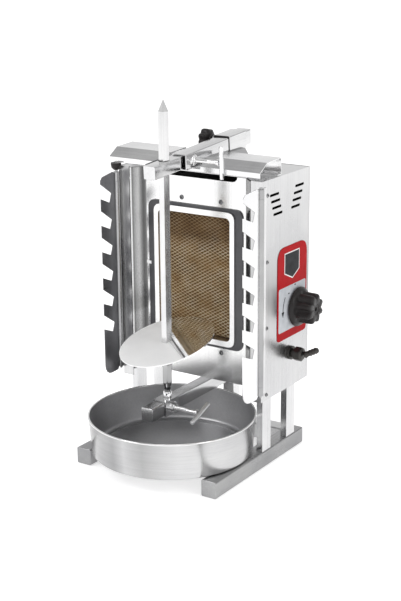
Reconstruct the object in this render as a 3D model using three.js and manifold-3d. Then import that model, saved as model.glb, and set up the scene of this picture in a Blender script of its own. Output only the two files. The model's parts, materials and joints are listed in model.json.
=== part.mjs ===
// A counter-top vertical rotisserie broiler: a gas-fired steel casing on two skids, with a
// telescopic upper arm and a lower arm that hold an upright spit in front of the burner.
// Millimetres, +Z up. X runs left to right, Y from the front to the back.
import * as THREE from 'three';
import { mergeVertices } from 'three/addons/utils/BufferGeometryUtils.js';
import Module from 'manifold-3d';

const wasm = await Module();
wasm.setup();

// ---- driving dimensions -------------------------------------------------------------------

const GAP = 0.3; // space left between pieces that touch
const SHEET = 1.2; // casing sheet

const TUBE = 30; // skids and cross tube
const TUBE_WALL = 1.5;
const BASE_DEPTH = 298; // skids, front to back
const SKID_OUTER = 148; // outer face of a skid, from the centre plane
const CAP = 3;

const POST_WIDTH = 11.8;
const POST_DEPTH = 29;
const POST_OUTER = 146.5;
const RIGHT_POST_FRONTS = { front: 154, rear: 239 };
const LEFT_POST_FRONTS = { front: 171, rear: 239 };

const ARM_HALF = 11.75; // lower arm and centre post
const ARM_WALL = 1.5;
const ARM_Z = 118.15;
const ARM_FRONT = 13.5;
const CENTRE_POST_FRONT = 274;

const CASE_HALF = 148;
const CASE_FRONT = 146;
const CASE_BACK = 310;
const CASE_TOP = 518;
const SIDE_BOTTOM = 126;
const FLOOR_Z = 143;
const FLANGE_INNER = 126; // inner edge of a side panel's front flange
const RECESS_HALF = 104; // flat part of the recessed front panel
const RECESS_Y = 167;
const FRONT_TOP = CASE_TOP - SHEET - 2 * GAP;

const BACK_VENTS = { columns: [-75, 0, 75], rows: [240, 225, 210], halfLength: 25, halfHeight: 3 };

const BURNER_Z = 332.5;
const GASKET = { halfWidth: 98, halfHeight: 127, front: 163.8, back: RECESS_Y - GAP, corner: 12 };
const FLANGE = { halfWidth: 84, halfHeight: 121.5, front: 160.3, corner: 12 };
const WINDOW = { halfWidth: 75, halfHeight: 111.5, corner: 8 };
const COLLAR_BACK = 179;
const MESH_FRONT = 172;
const TILE = { pitch: 51, front: 180.2, thickness: 12, rows: 5, groove: 1.2 };
const BOX_BACK = 215;

const VALVE = { y: 269, z: 272, left: 112, right: 140, halfY: 13, halfZ: 14, neckEnd: 145.5, boreEnd: 124 };
const STEM = { start: 133, end: 166, radius: 4, hole: 4.4 };
const INJECTOR = { start: 86, shoulder: 98, radius: 3, hexRadius: 7.5 };
const INLET = {
  y: 247, z: 191, half: 11, left: 118, right: 140, collarEnd: 153, collarRadius: 12.5, neckRadius: 8,
};
const NUT = { start: 160, end: 175, radius: 13.6, bore: 9 };
const PIPE = { x: 126, radius: 4.5, bend: 14 };
const NOZZLE_X = 177.9;
const NOZZLE = {
  length: 27, barbs: 3, first: 10, pitch: 5, neck: 5, barb: 6.2, root: 4.6, tip: 4.2, bore: 2.4, boreEnd: 8,
};
const NOZZLE_DIRECTION = new THREE.Vector3(0.85, 0.3, 0.43).normalize();
const KNOB = { back: 151.4, skirt: 158, face: 188.5, skirtRadius: 36, bodyRadius: 26.4, lobe: 1.8, lobes: 8 };
const KNOB_STEPS = 64;
const LABEL = { y: 251, halfY: 52, bottom: 221, top: 390, thickness: 0.7, corner: 8, hole: 9 };

const CANOPY = {
  left: -167, right: 145, lipY: 143.5, lipZ: 524, bendZ: 532.5, slopeY: 167, slopeZ: 546.8,
  rearY: 214, rearZ: 548.8, foot: 12,
};
const NOTCH = { left: -49, right: 27, bottom: 528 };

const SPIT_Y = 74.3;
const SPIT_SIDE = 13;
const SPIT_TURN = -0.29;
const SPIT_TIP = 653;
const DISC = { z: 234.1, radius: 85.8, thickness: 2, tilt: 0.2917, heading: -2.018 };

const SLIDER = { half: 13.8, front: 49, back: 88.5 };
const CUP = { bottom: ARM_Z + 13.8 + GAP, top: 143, outer: 7.4, bore: 5 };

const UPPER_TILT = THREE.MathUtils.degToRad(3.6);
const UPPER_PIVOT = new THREE.Vector3(0, 114, 542.7); // axis of the upper arm at its middle tube's mouth
const INNER_HALF = 11.5;
const MIDDLE_HALF = 14;
const SLEEVE_HALF = 16.4;
const UPPER_WALL = 1.5;
const INNER_SPAN = [-81, 100]; // along the arm, from the pivot
const MIDDLE_SPAN = [0, 216];
const SLEEVE_SPAN = [141.2, 197.5];
const CLAMP_S = 24;
const REAR_CLAMP_S = 154.5;
const REAR_KNOB = {
  height: 5, radius: 18.6, lobe: 1.9, lobes: 7, steps: 42,
  far: -50, near: -31, collar: -27, collarRadius: 9, stud: 3,
};
const NUT_LENGTH = 8; // round nuts welded to the arm tubes
const LATCH = { front: -72, back: -33, offset: 2.5, drop: 0.9, radius: 1.1, leg: 1.5 };
const SADDLE = { foot: 38, edge: 34, crown: 21, top: 541, front: 252, back: 300, sheet: 2 };

const SCREW_RADIUS = 4;
const BAR = { radius: 3.9, length: 57 };
const UPPER_BAR_X = 73.2;
const LOWER_BAR_X = 71;
const LOWER_CLAMP = { y: 69.5, z: 116.5 };

const TRAY = { y: 87.5, bottom: TUBE + GAP, top: 98.4, bottomRadius: 144, rimRadius: 149.8, wall: 1 };

const HINGE = { x: 149.7, y: 139.8, rod: 2.8, bore: 3.1, barrel: 5.7, bottom: 143, top: 507 };
const KNUCKLE = 16;
const SHIELD = { reach: 52, bottom: 138.5, top: 509, rest: 0.07, slots: 6, slotPitch: 47.9, firstSlot: 493 };

const TRAY_SIDES = 64;
const ROUND = 20;

// ---- helpers ------------------------------------------------------------------------------

function toSolid(geometry) {
  const bare = geometry.clone();
  bare.deleteAttribute('normal');
  bare.deleteAttribute('uv');
  const merged = mergeVertices(bare, 1e-4);
  return new wasm.Manifold(new wasm.Mesh({
    numProp: 3,
    vertProperties: new Float32Array(merged.attributes.position.array),
    triVerts: new Uint32Array(merged.index.array),
  }));
}

function toGeometry(solid) {
  const mesh = solid.getMesh();
  const geometry = new THREE.BufferGeometry();
  geometry.setAttribute('position', new THREE.BufferAttribute(new Float32Array(mesh.vertProperties), 3));
  geometry.setIndex(new THREE.BufferAttribute(new Uint32Array(mesh.triVerts), 1));
  geometry.computeVertexNormals();
  return geometry;
}

function join(...pieces) {
  return toGeometry(pieces.map(toSolid).reduce((sum, piece) => sum.add(piece)));
}

function cut(base, ...tools) {
  return toGeometry(tools.map(toSolid).reduce((rest, tool) => rest.subtract(tool), toSolid(base)));
}

// A box from its two opposite corners.
function block([x0, x1], [y0, y1], [z0, z1]) {
  return new THREE.BoxGeometry(x1 - x0, y1 - y0, z1 - z0)
    .translate((x0 + x1) / 2, (y0 + y1) / 2, (z0 + z1) / 2);
}

// A cylinder or cone along one axis; the centre gives the two other coordinates in x, y, z order.
function rod(axis, [from, to], [c0, c1], radius, sides = ROUND, endRadius = radius) {
  const geometry = new THREE.CylinderGeometry(endRadius, radius, to - from, sides);
  const middle = (from + to) / 2;
  if (axis === 'x') return geometry.rotateZ(-Math.PI / 2).translate(middle, c0, c1);
  if (axis === 'y') return geometry.translate(c0, middle, c1);
  return geometry.rotateX(Math.PI / 2).translate(c0, c1, middle);
}

// Turns geometry extruded along +Z so that its outline lies in the named plane.
function stand(geometry, plane, from, to) {
  if (plane === 'yz') {
    const turn = new THREE.Matrix4().makeBasis(
      new THREE.Vector3(0, 1, 0), new THREE.Vector3(0, 0, 1), new THREE.Vector3(1, 0, 0));
    return geometry.applyMatrix4(turn).translate(from, 0, 0);
  }
  if (plane === 'xz') return geometry.rotateX(Math.PI / 2).translate(0, to, 0);
  return geometry.translate(0, 0, from);
}

// An outline of points in a plane, with holes, extruded between two coordinates.
function plate(plane, outline, [from, to], holes = []) {
  const shape = new THREE.Shape(outline.map(([u, v]) => new THREE.Vector2(u, v)));
  shape.holes = holes.map((hole) => new THREE.Path(hole.map(([u, v]) => new THREE.Vector2(u, v))));
  const geometry = new THREE.ExtrudeGeometry(shape, { depth: to - from, bevelEnabled: false });
  return stand(geometry, plane, from, to);
}

function rectangle([u0, u1], [v0, v1]) {
  return [[u0, v0], [u1, v0], [u1, v1], [u0, v1]];
}

// A rectangle with round corners, anticlockwise.
function rounded([u0, u1], [v0, v1], radius, steps = 3) {
  const corners = [
    [u1 - radius, v0 + radius, -Math.PI / 2],
    [u1 - radius, v1 - radius, 0],
    [u0 + radius, v1 - radius, Math.PI / 2],
    [u0 + radius, v0 + radius, Math.PI],
  ];
  return corners.flatMap(([cu, cv, start]) => Array.from({ length: steps + 1 }, (_, i) => {
    const angle = start + (i / steps) * (Math.PI / 2);
    return [cu + radius * Math.cos(angle), cv + radius * Math.sin(angle)];
  }));
}

function polygon(sides, radius, [cu, cv], start = 0) {
  return Array.from({ length: sides }, (_, i) => {
    const angle = start + (i / sides) * 2 * Math.PI;
    return [cu + radius * Math.cos(angle), cv + radius * Math.sin(angle)];
  });
}

// A bent sheet: a line of points in a plane, thickened to one side, extruded.
function bentSheet(plane, line, thickness, span) {
  const points = line.map(([u, v]) => new THREE.Vector2(u, v));
  const normals = points.slice(1).map((p, i) => {
    const run = p.clone().sub(points[i]).normalize();
    return new THREE.Vector2(-run.y, run.x);
  });
  const inner = points.map((p, i) => {
    const before = normals[Math.max(i - 1, 0)];
    const after = normals[Math.min(i, normals.length - 1)];
    const middle = before.clone().add(after).normalize();
    return p.clone().addScaledVector(middle, thickness / middle.dot(after));
  });
  return plate(plane, [...points, ...inner.reverse()].map((p) => [p.x, p.y]), span);
}

// A hollow square tube around an axis, open at both ends.
function squareTube(plane, half, wall, [cu, cv], span) {
  const inside = half - wall;
  return plate(plane, rectangle([cu - half, cu + half], [cv - half, cv + half]), span,
    [rectangle([cu - inside, cu + inside], [cv - inside, cv + inside])]);
}

// ---- materials ----------------------------------------------------------------------------

function material(color, metalness, roughness) {
  return new THREE.MeshStandardMaterial({ color, metalness, roughness });
}

const looks = {
  steel: () => material(0xc4c6c9, 0.95, 0.32),
  polished: () => material(0xd6d8da, 1, 0.12),
  chrome: () => material(0xe2e4e6, 1, 0.08),
  tray: () => material(0x6f7275, 0.9, 0.35),
  darkMetal: () => material(0x3a3836, 0.7, 0.5),
  black: () => material(0x1e1c1c, 0, 0.45),
  brass: () => material(0xb5934a, 0.95, 0.3),
  castIron: () => material(0x4b4a48, 0.7, 0.6),
  ceramic: () => material(0xa88d68, 0, 0.9),
  mesh: () => material(0x8a7048, 0.8, 0.4),
  label: () => material(0xc42a30, 0, 0.4),
};

const broiler = new THREE.Group();

function add(name, geometry, look, parent = broiler) {
  const mesh = new THREE.Mesh(geometry, looks[look]());
  mesh.name = name;
  parent.add(mesh);
  return mesh;
}

// ---- base frame ---------------------------------------------------------------------------

function buildBase() {
  const centreZ = TUBE / 2;
  const half = TUBE / 2;
  for (const [side, sign] of [['left', -1], ['right', 1]]) {
    const x = sign * (SKID_OUTER - half);
    add(`skid_${side}`, squareTube('xz', half, TUBE_WALL, [x, centreZ], [CAP, BASE_DEPTH]), 'steel');
    const edge = [x - half, x + half];
    add(`skid_cap_${side}`, block(edge, [0, CAP - GAP], [0, TUBE]), 'steel');
  }
  const crossHalf = SKID_OUTER - TUBE - GAP;
  add('rear_cross_tube', squareTube('yz', half, TUBE_WALL, [BASE_DEPTH - half, centreZ],
    [-crossHalf, crossHalf]), 'steel');

  const postSpan = [TUBE + GAP, FLOOR_Z - GAP];
  for (const [side, sign, fronts] of [['left', -1, LEFT_POST_FRONTS], ['right', 1, RIGHT_POST_FRONTS]]) {
    for (const [place, front] of Object.entries(fronts)) {
      const x = sign * (POST_OUTER - POST_WIDTH / 2);
      const outline = rectangle([x - POST_WIDTH / 2, x + POST_WIDTH / 2], [front, front + POST_DEPTH]);
      add(`post_${place}_${side}`, plate('xy', outline, postSpan), 'steel');
    }
  }

  const postY = CENTRE_POST_FRONT + ARM_HALF;
  add('centre_post', squareTube('xy', ARM_HALF, ARM_WALL, [0, postY], postSpan), 'steel');
  const armSpan = [ARM_FRONT, CENTRE_POST_FRONT - GAP];
  add('lower_arm', squareTube('xz', ARM_HALF, ARM_WALL, [0, ARM_Z], armSpan), 'polished');
  add('lower_arm_cap', block([-ARM_HALF, ARM_HALF], [11.7, 13.5 - GAP], [ARM_Z - ARM_HALF, ARM_Z + ARM_HALF]),
    'polished');
}

// ---- casing -------------------------------------------------------------------------------

// Two columns of slots: each slot is set a little nearer the middle than the one above it.
function sideVents() {
  const slotHeight = 4.6;
  const length = 31;
  const rows = 4;
  const columns = [
    { start: 172, step: 4, z: 489.6, drop: 11.6 },
    { start: 258.5, step: -4.5, z: 491.5, drop: 11.8 },
  ];
  return columns.flatMap(({ start, step, z, drop }) => Array.from({ length: rows }, (_, i) => {
    const y = start + i * step;
    const middle = z - i * drop;
    return rounded([y, y + length], [middle - slotHeight / 2, middle + slotHeight / 2], slotHeight / 2 - 0.01);
  }));
}

function sidePanel(sign, holes) {
  const inner = CASE_HALF - SHEET;
  const span = sign > 0 ? [inner, CASE_HALF] : [-CASE_HALF, -inner];
  const sheet = plate('yz', rectangle([CASE_FRONT, CASE_BACK], [SIDE_BOTTOM, CASE_TOP]), span, holes);
  const reach = sign > 0 ? [FLANGE_INNER, CASE_HALF] : [-CASE_HALF, -FLANGE_INNER];
  return join(sheet, block(reach, [CASE_FRONT, CASE_FRONT + SHEET], [SIDE_BOTTOM, CASE_TOP]));
}

function backVents() {
  const { columns, rows, halfLength, halfHeight } = BACK_VENTS;
  return columns.flatMap((x) => rows.map((z) => rounded([x - halfLength, x + halfLength],
    [z - halfHeight, z + halfHeight], halfHeight - 0.01, 2)));
}

// Outline, seen from above, of a flat plate that fills the casing behind the recessed front.
function floorOutline() {
  const half = CASE_HALF - SHEET - 0.4;
  const front = CASE_FRONT + SHEET + 1.1;
  const back = CASE_BACK - GAP;
  const recess = RECESS_Y + SHEET + 0.6;
  return [[-half, front], [-FLANGE_INNER, front], [-RECESS_HALF - 1, recess], [RECESS_HALF + 1, recess],
    [FLANGE_INNER, front], [half, front], [half, back], [-half, back]];
}

function buildCasing() {
  const vents = sideVents();
  const stemHole = polygon(12, 6, [VALVE.y, VALVE.z]);
  const inletHole = polygon(12, 8.5, [INLET.y, INLET.z]);
  add('side_panel_left', sidePanel(-1, vents), 'polished');
  add('side_panel_right', sidePanel(1, [...vents, stemHole, inletHole]), 'polished');

  const edge = FLANGE_INNER - SHEET - GAP;
  const line = [[-edge, CASE_FRONT], [-RECESS_HALF, RECESS_Y], [RECESS_HALF, RECESS_Y], [edge, CASE_FRONT]];
  const sheet = bentSheet('xy', line, SHEET, [FLOOR_Z, FRONT_TOP]);
  const burnerHole = plate('xz', rectangle([-WINDOW.halfWidth - 3, WINDOW.halfWidth + 3],
    [BURNER_Z - WINDOW.halfHeight - 3, BURNER_Z + WINDOW.halfHeight + 3]), [RECESS_Y - 5, RECESS_Y + 5]);
  const heatSlot = plate('xz', rounded([-87, 87], [507, 530], 10), [RECESS_Y - 5, RECESS_Y + 5]);
  add('front_panel', cut(sheet, burnerHole, heatSlot), 'polished');

  add('back_cover', plate('xz', rectangle([-CASE_HALF, CASE_HALF], [SIDE_BOTTOM, CASE_TOP]),
    [CASE_BACK + GAP, CASE_BACK + GAP + SHEET], backVents()), 'steel');
  add('bottom_plate', plate('xy', floorOutline(), [FLOOR_Z, FLOOR_Z + SHEET]), 'steel');
  add('top_plate', plate('xy', floorOutline(), [CASE_TOP - SHEET - GAP, CASE_TOP - GAP]), 'polished');
}

function buildCanopy() {
  const { left, right, lipY, lipZ, bendZ, slopeY, slopeZ, rearY, rearZ, foot } = CANOPY;
  const footZ = CASE_TOP + GAP;
  const line = [[lipY, lipZ], [lipY, bendZ], [slopeY, slopeZ], [rearY, rearZ], [rearY + 1, footZ + SHEET],
    [rearY - foot, footZ + SHEET]];
  const sheet = bentSheet('yz', line, -SHEET, [left, right]);
  add('canopy', cut(sheet, block([NOTCH.left, NOTCH.right], [100, 230], [NOTCH.bottom, 600])), 'polished');
}

// ---- burner and gas parts -----------------------------------------------------------------

function ring(outer, inner, [front, back]) {
  const around = ({ halfWidth, halfHeight, corner }) => rounded([-halfWidth, halfWidth],
    [BURNER_Z - halfHeight, BURNER_Z + halfHeight], corner);
  return plate('xz', around(outer), [front, back], [around(inner)]);
}

function grow({ halfWidth, halfHeight, corner }, by) {
  return { halfWidth: halfWidth + by, halfHeight: halfHeight + by, corner: corner + by };
}

function tileColumn(x) {
  const half = TILE.pitch / 2 - 0.2;
  const halfHeight = WINDOW.halfHeight - 0.5;
  const bottom = BURNER_Z - halfHeight;
  const body = block([x - half, x + half], [TILE.front, TILE.front + TILE.thickness],
    [bottom, BURNER_Z + halfHeight]);
  const grooves = Array.from({ length: TILE.rows - 1 }, (_, i) => {
    const z = bottom + ((i + 1) * 2 * halfHeight) / TILE.rows;
    return block([x - half - 1, x + half + 1], [TILE.front - 1, TILE.front + TILE.groove],
      [z - TILE.groove / 2, z + TILE.groove / 2]);
  });
  return cut(body, ...grooves);
}

function buildBurner() {
  add('burner_gasket', ring(GASKET, grow(WINDOW, 3), [GASKET.front, GASKET.back]), 'darkMetal');
  const face = ring(FLANGE, WINDOW, [FLANGE.front, GASKET.front - GAP]);
  const collar = ring(grow(WINDOW, SHEET), WINDOW, [FLANGE.front + 1, COLLAR_BACK]);
  add('burner_flange', join(face, collar), 'steel');
  const meshEdge = grow(WINDOW, -GAP);
  add('guard_mesh', plate('xz', rounded([-meshEdge.halfWidth, meshEdge.halfWidth],
    [BURNER_Z - meshEdge.halfHeight, BURNER_Z + meshEdge.halfHeight], meshEdge.corner),
  [MESH_FRONT, MESH_FRONT + 1.6]), 'mesh');
  ['left', 'centre', 'right'].forEach((place, i) => {
    add(`ceramic_tiles_${place}`, tileColumn((i - 1) * TILE.pitch), 'ceramic');
  });

  const halfX = 1.5 * TILE.pitch + GAP;
  const halfZ = WINDOW.halfHeight + GAP;
  const wall = 1.5;
  const outside = block([-halfX - wall, halfX + wall], [COLLAR_BACK + GAP, BOX_BACK],
    [BURNER_Z - halfZ - wall, BURNER_Z + halfZ + wall]);
  const inside = block([-halfX, halfX], [COLLAR_BACK - 5, BOX_BACK - wall],
    [BURNER_Z - halfZ, BURNER_Z + halfZ]);
  const port = rod('y', [BOX_BACK - 10, BOX_BACK + 10], [0, VALVE.z], 13);
  add('burner_box', cut(outside, inside, port), 'steel');

  const radius = 14;
  const bore = 12.5;
  const mouth = 92;
  const main = rod('x', [-16, mouth], [VALVE.y, VALVE.z], radius);
  const branch = rod('y', [BOX_BACK + GAP, VALVE.y], [0, VALVE.z], radius);
  const mainBore = rod('x', [-14.5, mouth + 1], [VALVE.y, VALVE.z], bore);
  const branchBore = rod('y', [BOX_BACK - 1, VALVE.y], [0, VALVE.z], bore);
  add('venturi_tube', cut(join(main, branch), mainBore, branchBore), 'steel');
}

function buildGasLine() {
  const valve = [VALVE.y, VALVE.z];
  add('injector', join(rod('x', [INJECTOR.start, INJECTOR.shoulder], valve, INJECTOR.radius, 12),
    rod('x', [INJECTOR.shoulder - 1, VALVE.left - GAP], valve, INJECTOR.hexRadius, 6)), 'brass');

  const body = block([VALVE.left, VALVE.right], [VALVE.y - VALVE.halfY, VALVE.y + VALVE.halfY],
    [VALVE.z - VALVE.halfZ, VALVE.z + VALVE.halfZ]);
  const neck = rod('x', [VALVE.right - 1, VALVE.neckEnd], valve, 9, ROUND);
  const stemHole = rod('x', [VALVE.boreEnd, VALVE.neckEnd + 1], valve, STEM.hole);
  add('gas_valve', cut(join(body, neck), stemHole), 'castIron');
  add('valve_stem', rod('x', [STEM.start, STEM.end], valve, STEM.radius), 'brass');

  const inlet = [INLET.y, INLET.z];
  const elbow = block([INLET.left, INLET.right], [INLET.y - INLET.half, INLET.y + INLET.half],
    [INLET.z - INLET.half, INLET.z + INLET.half]);
  add('inlet_fitting', join(elbow, rod('x', [INLET.right - 1, NUT.start - GAP], inlet, INLET.neckRadius),
    rod('x', [CASE_HALF + GAP, INLET.collarEnd], inlet, INLET.collarRadius)), 'darkMetal');
  add('inlet_nut', cut(rod('x', [NUT.start, NUT.end], inlet, NUT.radius, 6),
    rod('x', [NUT.start - 2, NUT.end - 3], inlet, NUT.bore)), 'darkMetal');

  const pipeStart = INLET.z + INLET.half + GAP;
  const pipeEnd = VALVE.z - VALVE.halfZ - GAP;
  const path = new THREE.CatmullRomCurve3([
    new THREE.Vector3(PIPE.x, INLET.y, pipeStart),
    new THREE.Vector3(PIPE.x, INLET.y, pipeStart + PIPE.bend),
    new THREE.Vector3(PIPE.x, VALVE.y, pipeEnd - PIPE.bend),
    new THREE.Vector3(PIPE.x, VALVE.y, pipeEnd),
  ]);
  const section = new THREE.Shape(polygon(10, PIPE.radius, [0, 0]).map(([u, v]) => new THREE.Vector2(u, v)));
  const sweep = { steps: 14, extrudePath: path, bevelEnabled: false };
  add('gas_pipe', new THREE.ExtrudeGeometry(section, sweep), 'brass');

  const nozzle = new THREE.LatheGeometry(nozzleProfile(), 16);
  const nozzleMesh = add('hose_nozzle', nozzle, 'darkMetal');
  nozzleMesh.position.set(NOZZLE_X, INLET.y, INLET.z);
  nozzleMesh.quaternion.setFromUnitVectors(new THREE.Vector3(0, 1, 0), NOZZLE_DIRECTION);
}

// A hose nozzle: a plain neck and three barbs that widen towards the base.
function nozzleProfile() {
  const { length, barbs, first, pitch, neck, barb, root, tip, bore, boreEnd } = NOZZLE;
  const points = [[0, 0], [neck, 0], [neck, first]];
  for (let i = 0; i < barbs; i += 1) {
    const start = first + i * pitch;
    points.push([barb, start + 0.4], [root, start + pitch]);
  }
  points.push([tip, length], [bore, length], [bore, boreEnd], [0, boreEnd]);
  return points.map(([r, along]) => new THREE.Vector2(r, along));
}

// The outline of a hand grip: a circle that swells into even lobes.
function lobedOutline(steps, radius, swell, lobes, [u, v]) {
  return Array.from({ length: steps }, (_, i) => {
    const angle = (i / steps) * 2 * Math.PI;
    const reach = radius + swell * Math.cos(lobes * angle);
    return [u + reach * Math.cos(angle), v + reach * Math.sin(angle)];
  });
}

function buildControls() {
  const { y, z } = VALVE;
  const body = lobedOutline(KNOB_STEPS, KNOB.bodyRadius, KNOB.lobe, KNOB.lobes, [y, z]);
  const grip = plate('yz', body, [KNOB.skirt - 1, KNOB.face]);
  const skirt = rod('x', [KNOB.back, KNOB.skirt], [y, z], KNOB.skirtRadius, 40, KNOB.skirtRadius - 3);
  const faceHole = rod('x', [KNOB.face - 3, KNOB.face + 1], [y, z], 3.5, 12);
  const shaftHole = rod('x', [KNOB.back - 1, STEM.end + 1], [y, z], STEM.radius + GAP);
  add('control_knob', cut(join(grip, skirt), faceHole, shaftHole), 'black');

  const width = [LABEL.y - LABEL.halfY, LABEL.y + LABEL.halfY];
  const outline = rounded(width, [LABEL.bottom, LABEL.top], LABEL.corner, 3);
  const opening = polygon(16, LABEL.hole, [y, z]);
  const face = [CASE_HALF + GAP, CASE_HALF + GAP + LABEL.thickness];
  add('label_plate', plate('yz', outline, face, [opening]), 'label');
}

// ---- upper arm ----------------------------------------------------------------------------

function buildUpperArm() {
  const arm = new THREE.Group();
  arm.position.copy(UPPER_PIVOT);
  arm.rotation.x = UPPER_TILT;
  broiler.add(arm);

  const spitBore = rod('z', [-40, 40], [0, 0], SPIT_SIDE * Math.SQRT1_2 + 0.5, 24)
    .rotateX(-UPPER_TILT)
    .translate(0, (SPIT_Y - UPPER_PIVOT.y) / Math.cos(UPPER_TILT), 0);
  const innerTube = squareTube('xz', INNER_HALF, UPPER_WALL, [0, 0], INNER_SPAN);
  add('inner_tube', cut(innerTube, spitBore), 'polished', arm);
  add('inner_tube_cap', block([-INNER_HALF, INNER_HALF], [INNER_SPAN[0] - GAP - 1.5, INNER_SPAN[0] - GAP],
    [-INNER_HALF, INNER_HALF]), 'polished', arm);

  const screwHole = rod('x', [MIDDLE_HALF - 4, MIDDLE_HALF + 12], [CLAMP_S, 0], SCREW_RADIUS + 0.3);
  const rearHole = rod('x', [-MIDDLE_HALF - 14, -MIDDLE_HALF], [REAR_CLAMP_S, REAR_KNOB.height], 3.3);
  const nut = rod('x', [MIDDLE_HALF - 0.5, MIDDLE_HALF + NUT_LENGTH], [CLAMP_S, 0], 10, 24);
  const middleTube = squareTube('xz', MIDDLE_HALF, UPPER_WALL + 0.6, [0, 0], MIDDLE_SPAN);
  add('middle_tube', cut(join(middleTube, nut), screwHole), 'polished', arm);
  add('middle_tube_cap', block([-MIDDLE_HALF, MIDDLE_HALF], [MIDDLE_SPAN[1] + GAP, MIDDLE_SPAN[1] + 2],
    [-MIDDLE_HALF, MIDDLE_HALF]), 'steel', arm);

  add('rear_sleeve', cut(squareTube('xz', SLEEVE_HALF, 2.1, [0, 0], SLEEVE_SPAN), rearHole), 'steel', arm);
  const nutSpan = [-SLEEVE_HALF - NUT_LENGTH, -SLEEVE_HALF - GAP];
  const sleeveNut = rod('x', nutSpan, [REAR_CLAMP_S, REAR_KNOB.height], 8.5, 6);
  add('rear_clamp_nut', cut(sleeveNut, rearHole), 'steel', arm);
  const { radius, lobe, lobes, steps, far, near, collar, collarRadius, stud } = REAR_KNOB;
  const axis = [REAR_CLAMP_S, REAR_KNOB.height];
  const grip = plate('yz', lobedOutline(steps, radius, lobe, lobes, axis), [far, near]);
  add('rear_clamp_knob', join(grip, rod('x', [near - 1, collar], axis, collarRadius),
    rod('x', [collar - 1, -MIDDLE_HALF - GAP], axis, stud)), 'black', arm);

  const barX = UPPER_BAR_X;
  const screwSpan = [INNER_HALF + GAP, barX - BAR.radius - GAP];
  add('upper_clamp_screw', rod('x', screwSpan, [CLAMP_S, 0], SCREW_RADIUS, 16), 'chrome', arm);
  const bar = add('upper_t_bar', tBar(), 'chrome', arm);
  bar.position.set(barX, CLAMP_S, 0);

  const latchZ = INNER_HALF - LATCH.drop;
  const legSpan = [-INNER_HALF - LATCH.offset - 0.5, -INNER_HALF - GAP];
  const legs = [LATCH.front + LATCH.leg, LATCH.back - LATCH.leg]
    .map((along) => rod('x', legSpan, [along, latchZ], LATCH.radius, 10));
  const wire = rod('y', [LATCH.front, LATCH.back], [-INNER_HALF - LATCH.offset, latchZ], LATCH.radius, 10);
  add('spit_latch_wire', join(wire, ...legs), 'darkMetal', arm);

  const base = CASE_TOP + GAP;
  const { foot, edge, crown, top, front, back, sheet } = SADDLE;
  const right = [[foot, base], [foot, base + sheet], [edge, base + sheet], [crown, top]];
  const left = right.map(([x, z]) => [-x, z]).reverse();
  const saddle = plate('xz', [...right, ...left], [front, back]);
  const inner = edge - 1.5 * sheet;
  const ceiling = top - 5 * sheet;
  const hollowOutline = [[-inner, base - 1], [inner, base - 1], [crown - 1, ceiling], [1 - crown, ceiling]];
  const hollow = plate('xz', hollowOutline, [front - 1, back + 1]);
  const seat = block([-SLEEVE_HALF - GAP, SLEEVE_HALF + GAP], [SLEEVE_SPAN[0] - 40, SLEEVE_SPAN[1] + 40],
    [-SLEEVE_HALF - GAP, 60]).rotateX(UPPER_TILT).translate(UPPER_PIVOT.x, UPPER_PIVOT.y, UPPER_PIVOT.z);
  add('saddle_bracket', cut(saddle, hollow, seat), 'steel');
}

// The cross bar of a clamp screw: upright, with rounded ends.
function tBar() {
  const half = BAR.length / 2;
  const r = BAR.radius;
  const profile = [[0, -half], [r * 0.7, -half], [r, -half + 1], [r, half - 1], [r * 0.7, half], [0, half]];
  return new THREE.LatheGeometry(profile.map(([a, b]) => new THREE.Vector2(a, b)), 16).rotateX(Math.PI / 2);
}

// ---- lower slider, spit and disc ----------------------------------------------------------

function buildLowerSlider() {
  const { half, front, back } = SLIDER;
  const { y, z } = LOWER_CLAMP;
  const sleeve = squareTube('xz', half, half - ARM_HALF - GAP, [0, ARM_Z], [front, back]);
  const nut = rod('x', [half - 0.5, half + NUT_LENGTH], [y, z], 9.6, 24);
  const screwHole = rod('x', [half - 5, half + 12], [y, z], SCREW_RADIUS + 0.3);
  add('lower_slider', cut(join(sleeve, nut), screwHole), 'polished');
  const cup = rod('z', [CUP.bottom, CUP.top], [0, SPIT_Y], CUP.outer, 24);
  const bore = rod('z', [CUP.bottom + 2, CUP.top + 1], [0, SPIT_Y], CUP.bore, 24);
  add('bearing_cup', cut(cup, bore), 'chrome');
  const screwSpan = [ARM_HALF + GAP, LOWER_BAR_X - BAR.radius - GAP];
  add('lower_clamp_screw', rod('x', screwSpan, [y, z], SCREW_RADIUS, 16), 'chrome');
  const bar = add('lower_t_bar', tBar(), 'chrome');
  bar.position.set(LOWER_BAR_X, y, z);
  bar.rotation.x = THREE.MathUtils.degToRad(-70);
}

function buildSpit() {
  const radius = SPIT_SIDE * Math.SQRT1_2;
  const shoulder = 155;
  const point = SPIT_TIP - 19;
  const square = rod('z', [shoulder, point], [0, 0], radius, 4).rotateZ(Math.PI / 4);
  const tip = rod('z', [point - 0.01, SPIT_TIP], [0, 0], radius, 4, 1.4).rotateZ(Math.PI / 4);
  const neck = rod('z', [CUP.top + 2, shoulder + 0.01], [0, 0], 4.2, 4, radius).rotateZ(Math.PI / 4);
  const pin = rod('z', [CUP.bottom + 2 + GAP, shoulder], [0, 0], 4.6, 24);
  const spit = add('spit', join(square, tip, neck, pin), 'polished');
  spit.position.set(0, SPIT_Y, 0);
  spit.rotation.z = SPIT_TURN;

  const half = SPIT_SIDE / 2 + GAP;
  const bare = new THREE.CylinderGeometry(DISC.radius, DISC.radius, DISC.thickness, 56).rotateX(Math.PI / 2)
    .rotateY(DISC.tilt).rotateZ(DISC.heading);
  const opening = block([-half, half], [-half, half], [-20, 20]).rotateZ(SPIT_TURN);
  const disc = add('meat_disc', cut(bare, opening), 'chrome');
  disc.position.set(0, SPIT_Y, DISC.z);
}

// ---- tray and side shields ----------------------------------------------------------------

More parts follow.
